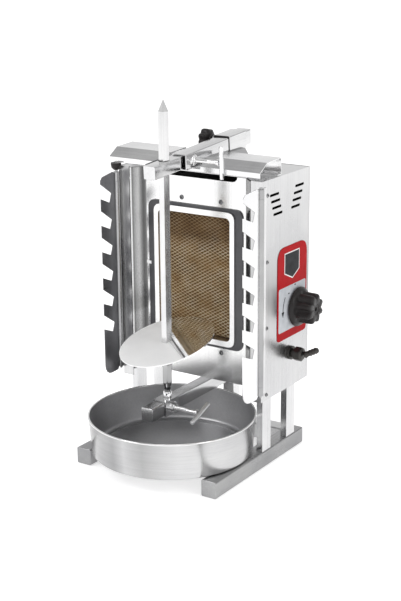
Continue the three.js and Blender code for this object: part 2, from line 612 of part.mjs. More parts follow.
function buildTray() {
  const { y, bottom, top, bottomRadius, rimRadius, wall } = TRAY;
  const profile = [[0, bottom], [bottomRadius, bottom], [rimRadius - 1.5, top - 1.5], [rimRadius, top - 1.5],
    [rimRadius, top], [rimRadius - 1.5 - wall, top], [bottomRadius - wall, bottom + wall],
    [0, bottom + wall]];
  const tray = new THREE.LatheGeometry(profile.map(([r, z]) => new THREE.Vector2(r, z)), TRAY_SIDES);
  add('drip_tray', tray.rotateX(Math.PI / 2).translate(0, y, 0), 'tray');
}

// The plate's outline, as distance in front of the hinge axis and height.
function shieldOutline() {
  const { reach, bottom, top, slots, slotPitch, firstSlot } = SHIELD;
  const corner = 20;
  const near = HINGE.barrel - 1;
  const points = [[near, HINGE.bottom + KNUCKLE + 1], [near, bottom + 8], [near + 6, bottom]];
  for (let i = 0; i <= 4; i += 1) {
    const angle = (i / 4) * (Math.PI / 2);
    points.push([reach - corner + corner * Math.sin(angle), bottom + corner - corner * Math.cos(angle)]);
  }
  for (let i = slots - 1; i >= 0; i -= 1) {
    const upper = firstSlot - i * slotPitch;
    const lower = upper - 26;
    points.push([reach, lower], [reach - 28, lower - 11.6], [reach - 34, upper - 21.6], [reach, upper]);
  }
  points.push([reach, top - 10], [reach - 6, top - 4], [near + 8, top], [near, top - 4],
    [near, HINGE.top - KNUCKLE - 1]);
  return points;
}

function buildShields() {
  const { rod: rodRadius, bore, barrel, bottom, top } = HINGE;
  const outline = shieldOutline().map(([distance, z]) => [-distance, z]);
  const middle = [bottom + KNUCKLE + GAP, top - KNUCKLE - GAP];
  for (const [side, sign] of [['left', -1], ['right', 1]]) {
    const blade = plate('yz', outline, [-SHEET / 2, SHEET / 2]);
    const roll = rod('z', middle, [0, 0], barrel);
    const clear = [[bottom - 10, middle[0]], [middle[1], top + 10]]
      .map((span) => rod('z', span, [0, 0], barrel + 0.5));
    const pinHole = rod('z', [bottom - 9, top + 9], [0, 0], bore);
    const shield = add(`shield_${side}`, cut(join(blade, roll), pinHole, ...clear), 'steel');
    shield.position.set(sign * HINGE.x, HINGE.y, 0);
    shield.rotation.z = -sign * SHIELD.rest;

    const rodLow = bottom - 4;
    const leafNear = CASE_HALF + GAP;
    const leafX = sign > 0 ? [leafNear, leafNear + SHEET] : [-leafNear - SHEET, -leafNear];
    const leafFront = HINGE.y + barrel + 0.5;
    const leaf = block(leafX, [leafFront, 158], [bottom, top]);
    const knuckles = [[bottom, bottom + KNUCKLE], [top - KNUCKLE, top]].flatMap((span) => [
      rod('z', span, [sign * HINGE.x, HINGE.y], barrel),
      block(leafX, [HINGE.y + 2, leafFront + 1], span),
    ]);
    const pin = rod('z', [rodLow, top + 3], [sign * HINGE.x, HINGE.y], rodRadius);
    add(`hinge_${side}`, join(leaf, ...knuckles, pin), 'steel');
  }
  const { x, y } = HINGE;
  const dome = new THREE.LatheGeometry([[0, 0], [5, 0.7], [8.4, 4.4], [9.4, 9], [9.4, 13], [0, 13]]
    .map(([r, z]) => new THREE.Vector2(r, z)), ROUND).rotateX(Math.PI / 2);
  const flat = block([-20, 20], [CASE_FRONT - GAP - y, 20], [-5, 20]);
  const knobMesh = add('hinge_knob_left', cut(dome, flat), 'black');
  knobMesh.position.set(-x, y, top + 3 + GAP);
}

buildBase();
buildCasing();
buildCanopy();
buildBurner();
buildGasLine();
buildControls();
buildUpperArm();
buildLowerSlider();
buildSpit();
buildTray();
buildShields();

// The row's origin is under the middle of the whole object, on the floor.
broiler.updateMatrixWorld(true);
const bounds = new THREE.Box3().setFromObject(broiler, true);
const centre = bounds.getCenter(new THREE.Vector3());
broiler.position.set(-centre.x, -centre.y, -bounds.min.z);

export default broiler;
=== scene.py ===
# A vertical rotisserie broiler in polished steel, on a pale studio floor.
import json
import math

import bmesh
import bpy
from mathutils import Matrix, Vector

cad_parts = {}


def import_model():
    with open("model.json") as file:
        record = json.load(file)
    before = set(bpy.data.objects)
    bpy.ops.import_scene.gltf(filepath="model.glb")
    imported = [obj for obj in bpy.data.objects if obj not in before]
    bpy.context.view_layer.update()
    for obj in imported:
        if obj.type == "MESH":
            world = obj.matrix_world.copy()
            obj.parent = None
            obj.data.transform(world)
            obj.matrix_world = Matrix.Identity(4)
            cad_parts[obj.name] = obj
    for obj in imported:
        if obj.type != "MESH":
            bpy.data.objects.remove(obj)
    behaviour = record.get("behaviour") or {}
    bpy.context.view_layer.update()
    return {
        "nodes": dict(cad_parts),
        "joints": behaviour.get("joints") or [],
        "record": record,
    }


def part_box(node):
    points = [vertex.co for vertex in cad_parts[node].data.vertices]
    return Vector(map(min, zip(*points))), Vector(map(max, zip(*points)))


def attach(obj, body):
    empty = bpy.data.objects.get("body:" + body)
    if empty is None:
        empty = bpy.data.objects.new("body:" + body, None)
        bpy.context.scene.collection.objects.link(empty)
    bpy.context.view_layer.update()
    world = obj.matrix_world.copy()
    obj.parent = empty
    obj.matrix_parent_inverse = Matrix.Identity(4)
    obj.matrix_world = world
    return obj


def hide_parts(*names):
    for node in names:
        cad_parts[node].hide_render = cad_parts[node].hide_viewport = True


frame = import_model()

MM = 0.001
TAU = 2 * math.pi
X_AXIS = Vector((1, 0, 0))
Y_AXIS = Vector((0, 1, 0))
UP = Vector((0, 0, 1))
AXIS_RADIUS = 1e-5      # radius of a ring that closes a turned solid on its axis
EDGE_BREAK = 0.35 * MM  # how far the ends of the tubes are rounded
CAP_PLATE = 1.2 * MM    # plate that closes a tube
SHEET = 1.2             # sheet thickness, in millimetres


# ---- places taken from the frame --------------------------------------------------------------

def low(node):
    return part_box(node)[0]


def high(node):
    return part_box(node)[1]


def middle(node):
    return (low(node) + high(node)) / 2


def joint(name):
    return next(j for j in frame["joints"] if j["name"] == name)


CENTRE_X = middle("lower_arm").x        # the plane that the spit and both arms stand in
SPIT = middle("bearing_cup")
RIGHT_X = high("side_panel_right").x
LEFT_X = low("side_panel_left").x
START_Y = low("skid_cap_left").y        # front ends of the skids
ARM_AXIS = Vector(joint("inner_arm_travel")["axis"]) * -1.0   # towards the back
ARM_UP = X_AXIS.cross(ARM_AXIS)


def at(x, y, z):
    """A place in millimetres from the centre plane, the skids' front ends and the floor."""
    return Vector((CENTRE_X + x * MM, START_Y + y * MM, z * MM))


# ---- mesh helpers -------------------------------------------------------------------------------

def smooth(obj, angle=35):
    obj.data.polygons.foreach_set("use_smooth", [True] * len(obj.data.polygons))
    obj.data.set_sharp_from_angle(angle=math.radians(angle))


def scaled(rows):
    """Rows of millimetres as metres."""
    return [tuple(v * MM for v in row) for row in rows]


def new_piece(name, bm, material, body, replaces=(), angle=35):
    """Turns a bmesh into an object that rides on a body, in place of the CAD nodes it replaces."""
    bmesh.ops.recalc_face_normals(bm, faces=bm.faces)
    mesh = bpy.data.meshes.new(name)
    bm.to_mesh(mesh)
    bm.free()
    obj = bpy.data.objects.new(name, mesh)
    bpy.context.scene.collection.objects.link(obj)
    mesh.materials.append(material)
    smooth(obj, angle)
    if body:
        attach(obj, body)
    if replaces:
        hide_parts(*replaces)
    return obj


def basis(axis, up):
    """Columns: side, up, axis, so that a section drawn in x and y is pushed along z."""
    axis = axis.normalized()
    up = (up - axis * up.dot(axis)).normalized()
    side = up.cross(axis)
    return Matrix((side, up, axis)).transposed()


def loft(bm, rings, closed=False):
    """Joins rings of points of equal length with quads; closed joins the last to the first, without caps."""
    layers = [[bm.verts.new(p) for p in ring] for ring in rings]
    pairs = list(zip(layers, layers[1:]))
    if closed:
        pairs.append((layers[-1], layers[0]))
    for a, b in pairs:
        for i in range(len(a)):
            j = (i + 1) % len(a)
            bm.faces.new((a[i], a[j], b[j], b[i]))
    if not closed:
        bm.faces.new(list(reversed(layers[0])))
        bm.faces.new(layers[-1])


def turned(bm, profile, sides, origin, axis):
    """A turned solid: profile pairs are (radius, distance along the axis)."""
    upright = abs(axis.normalized().dot(UP)) > 0.9
    frame3 = basis(axis, Y_AXIS if upright else UP)
    rings = []
    for radius, along in profile:
        radius = max(radius, AXIS_RADIUS)
        rings.append([origin + frame3 @ Vector((radius * math.cos(TAU * k / sides),
                                                radius * math.sin(TAU * k / sides), along))
                      for k in range(sides)])
    loft(bm, rings)


def round_rect(half_u, half_v, radius, steps=5):
    points = []
    for cu, cv, start in ((1, -1, -90), (1, 1, 0), (-1, 1, 90), (-1, -1, 180)):
        for k in range(steps + 1):
            angle = math.radians(start + 90 * k / steps)
            points.append((cu * (half_u - radius) + radius * math.cos(angle),
                           cv * (half_v - radius) + radius * math.sin(angle)))
    return points


def square_tube(bm, start, end, up, half, wall, radius, ends=(False, False)):
    """A square tube with rolled corners; the end that is True is closed by a welded plate."""
    axis = end - start
    length = axis.length
    frame3 = basis(axis, up)
    inner = half - wall
    bore = max(radius - wall * 0.6, 0.4 * MM)

    def ring(half_size, corner, along):
        return [start + frame3 @ Vector((u, v, along)) for u, v in round_rect(half_size, half_size, corner)]

    outside = [ring(half - EDGE_BREAK, radius, 0), ring(half, radius, EDGE_BREAK),
               ring(half, radius, length - EDGE_BREAK), ring(half - EDGE_BREAK, radius, length)]
    if ends == (True, False):
        loft(bm, outside + [ring(inner, bore, length), ring(inner, bore, CAP_PLATE)])
    elif ends == (False, True):
        loft(bm, [ring(inner, bore, length - CAP_PLATE), ring(inner, bore, 0)] + outside)
    else:
        loft(bm, outside + [ring(inner, bore, length), ring(inner, bore, 0)], closed=True)


def extrude_outline(bm, outline, push, origin=Vector((0, 0, 0))):
    """A flat outline of 3-D points pushed along a vector."""
    loft(bm, [[origin + p for p in outline], [origin + p + push for p in outline]])


def bevel(obj, width):
    """Rounds the edges that turn by more than 40 degrees; width is in millimetres."""
    mod = obj.modifiers.new("edges", "BEVEL")
    mod.width = width * MM
    mod.segments = 2
    mod.limit_method = "ANGLE"
    mod.angle_limit = math.radians(40)
    mod.harden_normals = False


# ---- materials ----------------------------------------------------------------------------------

GRAIN_SCALE = 900       # fine scratches in steel
LINE_SCALE = 260        # brushing lines
SMEAR_SCALE = 9         # large faint smears
WAVE_SCALE = 6          # slow waves in the face of a sheet
GRAIN_HEIGHT = 0.02     # height of the scratches beside the waves


class Nodes:
    """A material's node tree, with short calls for what the materials below need."""

    def __init__(self, name):
        self.material = bpy.data.materials.new(name)
        self.material.use_nodes = True
        self.tree = self.material.node_tree
        self.shader = self.tree.nodes["Principled BSDF"]
        self.coord = self.tree.nodes.new("ShaderNodeTexCoord")

    def add(self, kind, **values):
        node = self.tree.nodes.new(kind)
        for key, value in values.items():
            setattr(node, key, value)
        return node

    def link(self, source, target):
        self.tree.links.new(source, target)

    def mapped(self, scale):
        mapping = self.add("ShaderNodeMapping")
        mapping.inputs["Scale"].default_value = scale
        self.link(self.coord.outputs["Object"], mapping.inputs["Vector"])
        return mapping.outputs["Vector"]

    def dot(self, direction):
        """How far a place lies along a direction, in object space."""
        node = self.add("ShaderNodeVectorMath", operation="DOT_PRODUCT")
        node.inputs[1].default_value = direction
        self.link(self.coord.outputs["Object"], node.inputs[0])
        return node.outputs["Value"]

    def along(self, axis, start, end, first=0.0, last=1.0):
        """A value that goes from first to last between two places on an axis of object space."""
        node = self.add("ShaderNodeSeparateXYZ")
        self.link(self.coord.outputs["Object"], node.inputs[0])
        return self.range(node.outputs[axis], first, last, start, end)

    def calculate(self, operation, *inputs):
        """Each input is a number or a socket."""
        node = self.add("ShaderNodeMath", operation=operation)
        for socket, value in zip(node.inputs, inputs):
            if isinstance(value, (int, float)):
                socket.default_value = value
            else:
                self.link(value, socket)
        return node.outputs[0]

    def noise(self, scale, stretch=(1, 1, 1), detail=4.0):
        node = self.add("ShaderNodeTexNoise")
        node.inputs["Scale"].default_value = scale
        node.inputs["Detail"].default_value = detail
        node.inputs["Roughness"].default_value = 0.55
        self.link(self.mapped(stretch), node.inputs["Vector"])
        return node.outputs["Fac"]

    def ramp(self, fac, stops):
        node = self.add("ShaderNodeValToRGB")
        elements = node.color_ramp.elements
        while len(elements) < len(stops):
            elements.new(0.5)
        for element, (place, colour) in zip(elements, stops):
            element.position = place
            element.color = (*colour, 1)
        self.link(fac, node.inputs["Fac"])
        return node.outputs["Color"]

    def range(self, fac, low_value, high_value, from_low=0.0, from_high=1.0):
        node = self.add("ShaderNodeMapRange")
        for key, value in (("From Min", from_low), ("From Max", from_high), ("To Min", low_value),
                           ("To Max", high_value)):
            node.inputs[key].default_value = value
        self.link(fac, node.inputs["Value"])
        return node.outputs["Result"]

    def multiply(self, a, b):
        node = self.add("ShaderNodeMix", data_type="RGBA", blend_type="MULTIPLY")
        node.inputs["Factor"].default_value = 1.0
        self.link(a, node.inputs["A"])
        self.link(b, node.inputs["B"])
        return node.outputs["Result"]

    def bump(self, height, strength, distance):
        node = self.add("ShaderNodeBump")
        node.inputs["Strength"].default_value = strength
        node.inputs["Distance"].default_value = distance
        self.link(height, node.inputs["Height"])
        self.link(node.outputs["Normal"], self.shader.inputs["Normal"])

    def set(self, **values):
        for key, value in values.items():
            self.shader.inputs[key.replace("_", " ")].default_value = value


def steel(name, light, dark, rough, grain=(1, 1, 1), streak=0.25, wave=0.0, painted_light_bands=None):
    """Stainless sheet or tube: fine grain along one direction, faint smears, and slow waves in the face.
    Its last argument, when given, is (axis, start, end, stops): grey bands along the piece that are painted
    reflections and painted shade."""
    n = Nodes(name)
    n.set(Metallic=1.0)
    fine = n.noise(GRAIN_SCALE, grain, detail=3)
    smear = n.noise(SMEAR_SCALE, detail=5)
    lines = n.noise(LINE_SCALE, grain, detail=5)
    colour = n.multiply(n.ramp(smear, [(0.3, dark), (0.7, light)]),
                        n.ramp(lines, [(0.3, (0.91, 0.91, 0.91)), (0.7, (1, 1, 1))]))
    # painted reflections and painted shade: grey bands multiplied into the colour
    if painted_light_bands:
        axis, start, end, stops = painted_light_bands
        bands = n.ramp(n.along(axis, start, end), [(place, (v, v, v)) for place, v in stops])
        colour = n.multiply(colour, bands)
    n.link(colour, n.shader.inputs["Base Color"])
    uneven = n.calculate("MULTIPLY_ADD", fine, streak, smear)
    n.link(n.range(uneven, rough * 0.75, rough * 1.3, 0.35, 0.9), n.shader.inputs["Roughness"])
    scratches = n.calculate("MULTIPLY", fine, GRAIN_HEIGHT)
    height = n.calculate("MULTIPLY_ADD", n.noise(WAVE_SCALE, detail=1), wave, scratches)
    n.bump(height, 0.5, 0.001)
    return n.material


def plastic(name, colour, rough):
    n = Nodes(name)
    grain = n.noise(700, detail=3)
    tone = n.noise(40, detail=3)
    lighter = tuple(min(1, c * 1.5 + 0.01) for c in colour)
    n.link(n.ramp(tone, [(0.3, colour), (0.75, lighter)]), n.shader.inputs["Base Color"])
    n.link(n.range(grain, rough * 0.8, rough * 1.25), n.shader.inputs["Roughness"])
    n.set(Specular_IOR_Level=0.3)
    n.bump(grain, 0.25, 0.0004)
    return n.material


def printed(name, colour, dark, rough=0.28):
    n = Nodes(name)
    tone = n.noise(60, detail=4)
    n.link(n.ramp(tone, [(0.3, dark), (0.7, colour)]), n.shader.inputs["Base Color"])
    n.link(n.range(n.noise(500), rough * 0.8, rough * 1.3), n.shader.inputs["Roughness"])
    n.set(Specular_IOR_Level=0.08)
    n.bump(n.noise(250), 0.1, 0.0003)
    return n.material


def polished_with_painted_reflection(name):
    """The meat disc: matt and pale on one side of the spit, a mirror on the other. The matt, pale side is a
    painted reflection. Here the split is painted, along two lines through the spit; the second one runs
    along the camera's line of sight."""
    n = Nodes(name)

    def past_spit(direction, before, after):
        edge = direction[0] * SPIT.x + direction[1] * SPIT.y
        return n.range(n.dot(direction), 0.0, 1.0, edge - before, edge + after)

    behind = past_spit((0.629, 0.777, 0), 0, 6 * MM)
    beside = past_spit((0.839, 0.545, 0), 4 * MM, 1 * MM)
    # the mirror side; the rest of the disc, matt and pale, is the painted reflection
    mirror = n.calculate("MULTIPLY", behind, beside)
    smear = n.noise(30, detail=4)
    tone = n.ramp(smear, [(0.3, (0.90, 0.90, 0.90)), (0.7, (0.95, 0.95, 0.95))])
    n.link(tone, n.shader.inputs["Base Color"])
    n.link(n.range(mirror, 0.12, 1.0), n.shader.inputs["Metallic"])
    n.link(n.range(mirror, 0.42, 0.05), n.shader.inputs["Roughness"])
    n.bump(n.noise(500, (1, 0.03, 1)), 0.1, 0.0002)
    return n.material


CERAMIC_SHADE = (0.385, 0.40)   # metres above the floor, between which the burner turns darker
WIRE_SHADE = (0.375, 0.405)


def ceramic(name):
    """Burner plates: a close grid of flame holes in tan ceramic, darker in a band at the top."""
    n = Nodes(name)
    top = n.along("Z", *CERAMIC_SHADE, 1.0, 0.62)
    tone = n.noise(22, detail=5)
    colour = n.ramp(tone, [(0.25, (0.085, 0.042, 0.014)), (0.55, (0.19, 0.105, 0.04)),
                           (0.8, (0.34, 0.21, 0.09))])
    holes = n.add("ShaderNodeTexVoronoi", feature="F1")
    holes.inputs["Scale"].default_value = 420
    holes.inputs["Randomness"].default_value = 0.15
    n.link(n.mapped((1, 0.05, 1)), holes.inputs["Vector"])
    # painted shade: the flame holes are darkened in the colour
    hole_shade = n.ramp(holes.outputs["Distance"], [(0.18, (0.25, 0.25, 0.25)), (0.4, (1, 1, 1))])
    shade = n.ramp(top, [(0.0, (0, 0, 0)), (1.0, (1, 1, 1))])
    n.link(n.multiply(n.multiply(colour, hole_shade), shade), n.shader.inputs["Base Color"])
    n.link(n.range(tone, 0.8, 0.98), n.shader.inputs["Roughness"])
    n.bump(holes.outputs["Distance"], 0.6, 0.0008)
    return n.material


def straw_wire(name):
    """Guard wire in straw and brown, browner in a band at the top."""
    n = Nodes(name)
    tone = n.noise(30, detail=4)
    colour = n.ramp(tone, [(0.3, (0.52, 0.36, 0.18)), (0.5, (0.78, 0.64, 0.42)), (0.75, (0.90, 0.82, 0.66))])
    browner = n.ramp(n.along("Z", *WIRE_SHADE), [(0.0, (1, 1, 1)), (1.0, (0.50, 0.42, 0.34))])
    n.link(n.multiply(colour, browner), n.shader.inputs["Base Color"])
    n.set(Metallic=0.35)
    n.link(n.range(n.noise(400), 0.3, 0.5), n.shader.inputs["Roughness"])
    return n.material


# which way the grain runs, and the places in metres between which the bands of painted reflection and painted
# shade lie
ALONG_X, ALONG_Y, ALONG_Z, NO_GRAIN = (0.02, 1, 1), (1, 0.02, 1), (1, 1, 0.02), (1, 1, 1)
PANEL_FOOT, PANEL_TOP = 0.126, 0.518
FRONT_HALF, TRAY_HALF = 0.126, 0.15
SPIT_SHADE_FOOT, SPIT_SHADE_TOP = 0.13, 0.24

# Most steels below stand for the same stainless; their base greys differ part by part to match how bright
# each part looks, so beside the grain and roughness of each finish they hold painted light and painted shade
MATERIALS = {
    "brushed": steel("brushed_steel", (0.62, 0.62, 0.62), (0.50, 0.50, 0.51), 0.27, ALONG_X, wave=0.2),
    "skid": steel("brushed_steel_skid", (0.40, 0.40, 0.40), (0.27, 0.27, 0.28), 0.25, ALONG_Y, wave=0.2),
    "brushed_z": steel("brushed_steel_upright", (0.78, 0.78, 0.78), (0.62, 0.62, 0.63), 0.22, ALONG_Z,
                       wave=0.2),
    # painted reflection: a darker band across the middle height of the side panels
    "panel": steel("satin_panel_painted_reflection", (0.74, 0.74, 0.74), (0.62, 0.62, 0.63), 0.28, ALONG_Z, wave=0.5,
                   painted_light_bands=("Z", PANEL_FOOT, PANEL_TOP,
                          [(0.0, 0.95), (0.3, 0.82), (0.5, 0.60), (0.72, 0.86), (1.0, 1.0)])),
    # painted reflections: dark and light upright stripes across the front panel
    "front": steel("polished_front_painted_reflections", (0.90, 0.90, 0.90), (0.82, 0.82, 0.82), 0.21, ALONG_Z, wave=0.6,
                   painted_light_bands=("X", CENTRE_X - FRONT_HALF, CENTRE_X + FRONT_HALF,
                          [(0.0, 0.9), (0.012, 0.9), (0.016, 0.15), (0.024, 0.40), (0.045, 0.62),
                           (0.060, 0.26), (0.070, 0.13), (0.085, 0.2), (0.090, 1.0), (0.910, 1.0),
                           (0.915, 0.14), (1.0, 0.26)])),
    "polished": steel("polished_tube", (0.78, 0.78, 0.78), (0.62, 0.62, 0.63), 0.13, (1, 0.03, 1), wave=0.3),
    "canopy": steel("bright_canopy", (0.92, 0.92, 0.92), (0.76, 0.76, 0.77), 0.16, (0.03, 1, 1), wave=0.5),
    # painted shade: the spit is darker towards its foot
    "spit": steel("polished_bar_painted_shade", (0.80, 0.80, 0.80), (0.64, 0.64, 0.65), 0.12, ALONG_Z, wave=0.1,
                  painted_light_bands=("Z", SPIT_SHADE_FOOT, SPIT_SHADE_TOP, [(0.0, 0.45), (0.5, 0.55), (1.0, 1.0)])),
    "slider": steel("slider_block", (0.86, 0.86, 0.86), (0.66, 0.66, 0.67), 0.13, (1, 0.05, 1), wave=0.2),
    "mirror": polished_with_painted_reflection("mirror_disc"),
    "chrome": steel("chrome_plate", (0.95, 0.95, 0.95), (0.82, 0.82, 0.83), 0.09, NO_GRAIN, streak=0.1),
    # the two shields are one steel in a pale and a dark copy; the dark copy is painted shade
    "shield": steel("shield_pale", (0.88, 0.88, 0.88), (0.78, 0.78, 0.79), 0.20, ALONG_Z, wave=0.2),
    "shield_shaded": steel("shield_painted_shade", (0.24, 0.24, 0.25), (0.15, 0.15, 0.16), 0.30, ALONG_Z),
    "tray_in": steel("tray_inside", (0.66, 0.66, 0.67), (0.52, 0.52, 0.53), 0.36, NO_GRAIN, wave=0.2),
    # painted reflections: light and dark upright bands round the outside of the tray
    "tray_out": steel("tray_outside_painted_reflections", (0.66, 0.66, 0.66), (0.54, 0.54, 0.55), 0.20, (0.03, 0.03, 1), wave=0.1,
                      painted_light_bands=("X", CENTRE_X - TRAY_HALF, CENTRE_X + TRAY_HALF,
                             [(0.0, 0.80), (0.12, 0.95), (0.30, 0.70), (0.42, 0.62), (0.50, 0.92),
                              (0.62, 0.66), (0.80, 1.0), (1.0, 1.0)])),
    "arm": steel("lower_arm_steel", (0.70, 0.70, 0.70), (0.54, 0.54, 0.55), 0.20, (1, 0.03, 1), wave=0.2),
    # painted shade on the rolled barrels of the hinges and shields
    "roll": steel("rolled_hinge_painted_shade", (0.46, 0.46, 0.46), (0.30, 0.30, 0.31), 0.20, ALONG_Z),
    # painted light: steel made near white on the burner flange, the lower T-bar and the burner clip
    "pale_lit_steel": steel("pale_steel_painted_light", (0.95, 0.95, 0.95), (0.90, 0.90, 0.90), 0.30, NO_GRAIN),
    # painted highlight on the rolled rim of the tray and on its ridge
    "rim": steel("rim_and_ridge_painted_highlight", (0.90, 0.90, 0.90), (0.80, 0.80, 0.80), 0.12, NO_GRAIN),
    "gasket": steel("dark_frame", (0.13, 0.13, 0.135), (0.07, 0.07, 0.075), 0.35, NO_GRAIN),
    "oxide": steel("dark_fitting", (0.10, 0.095, 0.09), (0.05, 0.048, 0.045), 0.38, NO_GRAIN),
    "brass": steel("machined_brass", (0.78, 0.60, 0.28), (0.62, 0.45, 0.20), 0.28, NO_GRAIN),
    "casting": steel("valve_casting", (0.25, 0.25, 0.24), (0.15, 0.15, 0.15), 0.6, NO_GRAIN),
    "black": plastic("black_moulding", (0.008, 0.006, 0.006), 0.34),
    "red": printed("label_red", (0.44, 0.003, 0.008), (0.36, 0.002, 0.005), 0.45),
    "silver": printed("label_silver", (0.58, 0.60, 0.63), (0.46, 0.48, 0.51), 0.32),
    "badge": printed("label_badge", (0.030, 0.032, 0.036), (0.015, 0.016, 0.018), 0.4),
    # painted shade for the inside of the casing
    "inside": steel("casing_inside_painted_shade", (0.10, 0.10, 0.10), (0.05, 0.05, 0.05), 0.5, NO_GRAIN),
    "screw": steel("screw_steel", (0.34, 0.34, 0.34), (0.20, 0.20, 0.21), 0.25, NO_GRAIN),
    "white": printed("label_white", (0.82, 0.82, 0.82), (0.74, 0.74, 0.74), 0.35),
    # painted shade for recesses and holes
    "hole": plastic("hole_painted_shade", (0.004, 0.004, 0.004), 0.8),
    "ceramic": ceramic("burner_ceramic"),
    "wire": straw_wire("guard_wire"),
}


# ---- CAD nodes that keep their shape ------------------------------------------------------------

# The two shields are painted dark and pale because the photo shows them so; nothing says the steel differs.
# the dark shield's colour is painted shade
NODE_LOOKS = {
    "brushed": ["saddle_bracket", "rear_clamp_nut", "bottom_plate", "back_cover"],
    "brushed_z": ["post_front_left", "post_rear_left", "post_front_right", "post_rear_right",
                  "hinge_left", "hinge_right"],
    "shield": ["shield_right"],
    "panel": ["side_panel_left", "side_panel_right", "top_plate"],
    "front": ["front_panel"],
    "canopy": ["canopy"],
    "mirror": ["meat_disc"],
    "slider": ["lower_slider"],
    "chrome": ["upper_t_bar"],
    "pale_lit_steel": ["burner_flange", "lower_t_bar"],
    "shield_shaded": ["shield_left"],
    "gasket": ["burner_gasket", "spit_latch_wire"],
    "oxide": ["inlet_fitting"],
    "brass": ["injector", "valve_stem", "gas_pipe"],
    "casting": ["gas_valve"],
    "ceramic": ["ceramic_tiles_left", "ceramic_tiles_centre", "ceramic_tiles_right"],
    "red": ["label_plate"],
    "black": ["hinge_knob_left"],
}

# edge rounding of the CAD nodes, in millimetres
BEVELS = {"meat_disc": 0.5, "shield_left": 0.35, "shield_right": 0.35, "canopy": 0.4,
          "front_panel": 0.35, "side_panel_left": 0.35, "side_panel_right": 0.35, "burner_flange": 1.6,
          "burner_gasket": 1.2, "post_front_left": 1.5, "post_rear_left": 1.5, "post_front_right": 1.5,
          "post_rear_right": 1.5, "saddle_bracket": 0.5, "hinge_left": 0.3, "hinge_right": 0.3,
          "label_plate": 0.2, "inlet_fitting": 0.6, "top_plate": 0.3, "back_cover": 0.3}


def dress_cad_nodes():
    for look, names in NODE_LOOKS.items():
        for name in names:
            obj = frame["nodes"][name]
            obj.data.materials.clear()
            obj.data.materials.append(MATERIALS[look])
            smooth(obj)
            if name in BEVELS:
                bevel(obj, BEVELS[name])


def paint_shade_inside_casing():
    """Paints the faces that look into the casing dark, as painted shade, so that the vents read as dark
    openings.
    """
    facing = 0.3            # least agreement between a face and the inward direction
    for name, inward in (("front_panel", Y_AXIS), ("back_cover", -Y_AXIS), ("side_panel_left", X_AXIS),
                         ("side_panel_right", -X_AXIS), ("top_plate", -UP), ("bottom_plate", UP)):
        mesh = frame["nodes"][name].data
        mesh.materials.append(MATERIALS["inside"])
        for face in mesh.polygons:
            if face.normal.dot(inward) > facing:
                face.material_index = 1
    # the burner box and the venturi tube inside the casing get the same painted shade
    for name in ("burner_box", "venturi_tube"):
        mesh = frame["nodes"][name].data
        mesh.materials.clear()
        mesh.materials.append(MATERIALS["inside"])


HINGE_OUT = 149.7       # hinge pins, from the centre plane
HINGE_BACK = 5.7        # hinge pins, behind the front of the hinge
ROLL_REACH = 6.4        # outer radius of the rolls, with a little to spare


def paint_shade_on_hinge_rolls():
    """Paints the rolled barrels of the shields and hinges darker than the flat blades, as in the photo."""
    for side, sign in (("left", -1), ("right", 1)):
        axis = Vector((CENTRE_X + sign * HINGE_OUT * MM, low(f"hinge_{side}").y + HINGE_BACK * MM))
        for name in (f"hinge_{side}", f"shield_{side}"):
            mesh = frame["nodes"][name].data
            # painted shade: the barrels get a darker copy of the same steel
            mesh.materials.append(MATERIALS["roll"])
            for face in mesh.polygons:
                if (face.center.xy - axis).length < ROLL_REACH * MM:
                    face.material_index = 1


def burner_clip():
    """A small bent clip at the left of the burner. Its shape is a guess: the photo has a few pixels of it."""
    outline = ((-107, 166.8), (-98.8, 166.8), (-98.8, 163.5), (-93, 163.5), (-93, 162.7), (-99.6, 162.7),
               (-99.6, 166), (-107, 166))
    foot, height = 340.5, 5.5
    bm = bmesh.new()
    extrude_outline(bm, [at(x, y, foot) for x, y in outline], Vector((0, 0, height * MM)))
    new_piece("burner_clip", bm, MATERIALS["pale_lit_steel"], "casing")


# ---- frame tubes --------------------------------------------------------------------------------

SKID_HALF = 15          # half the width of each tube, in millimetres
LOWER_ARM_HALF = 11.75
TUBE_WALL = 1.5


def straight_tube(name, along, half, material, replaces, ends, radius):
    """A square tube of the casing that replaces CAD nodes; along is 0, 1 or 2, for X, Y or Z."""
    lows = [low(n) for n in replaces]
    highs = [high(n) for n in replaces]
    lo = Vector(min(p[i] for p in lows) for i in range(3))
    hi = Vector(max(p[i] for p in highs) for i in range(3))
    start = (lo + hi) / 2
    end = start.copy()
    start[along] = lo[along]
    end[along] = hi[along]
    up = UP if along != 2 else Y_AXIS
    bm = bmesh.new()
    square_tube(bm, start, end, up, half * MM, TUBE_WALL * MM, radius * MM, ends)
    new_piece(name, bm, MATERIALS[material], "casing", replaces)


def base_tubes():
    for side in ("left", "right"):
        straight_tube(f"skid_tube_{side}", 1, SKID_HALF, "skid", (f"skid_{side}", f"skid_cap_{side}"),
                      (True, False), 2.5)
    straight_tube("cross_tube", 0, SKID_HALF, "brushed", ("rear_cross_tube",), (False, False), 2.5)
    straight_tube("centre_post_tube", 2, LOWER_ARM_HALF, "brushed_z", ("centre_post",), (False, False), 2.2)
    straight_tube("lower_arm_tube", 1, LOWER_ARM_HALF, "arm", ("lower_arm", "lower_arm_cap"),
                  (True, False), 1.8)


def arm_point(node, back):
    """Centre of an end of a tilted tube, from its bounding box."""
    lo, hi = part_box(node)
    half = (hi.x - lo.x) / 2
    slope = ARM_AXIS.z / ARM_AXIS.y
    run = (hi.y - lo.y) / 2 - half * abs(ARM_AXIS.z)
    sign = 1 if back else -1
    centre = (lo + hi) / 2
    return centre + Vector((0, sign * run, sign * run * slope))


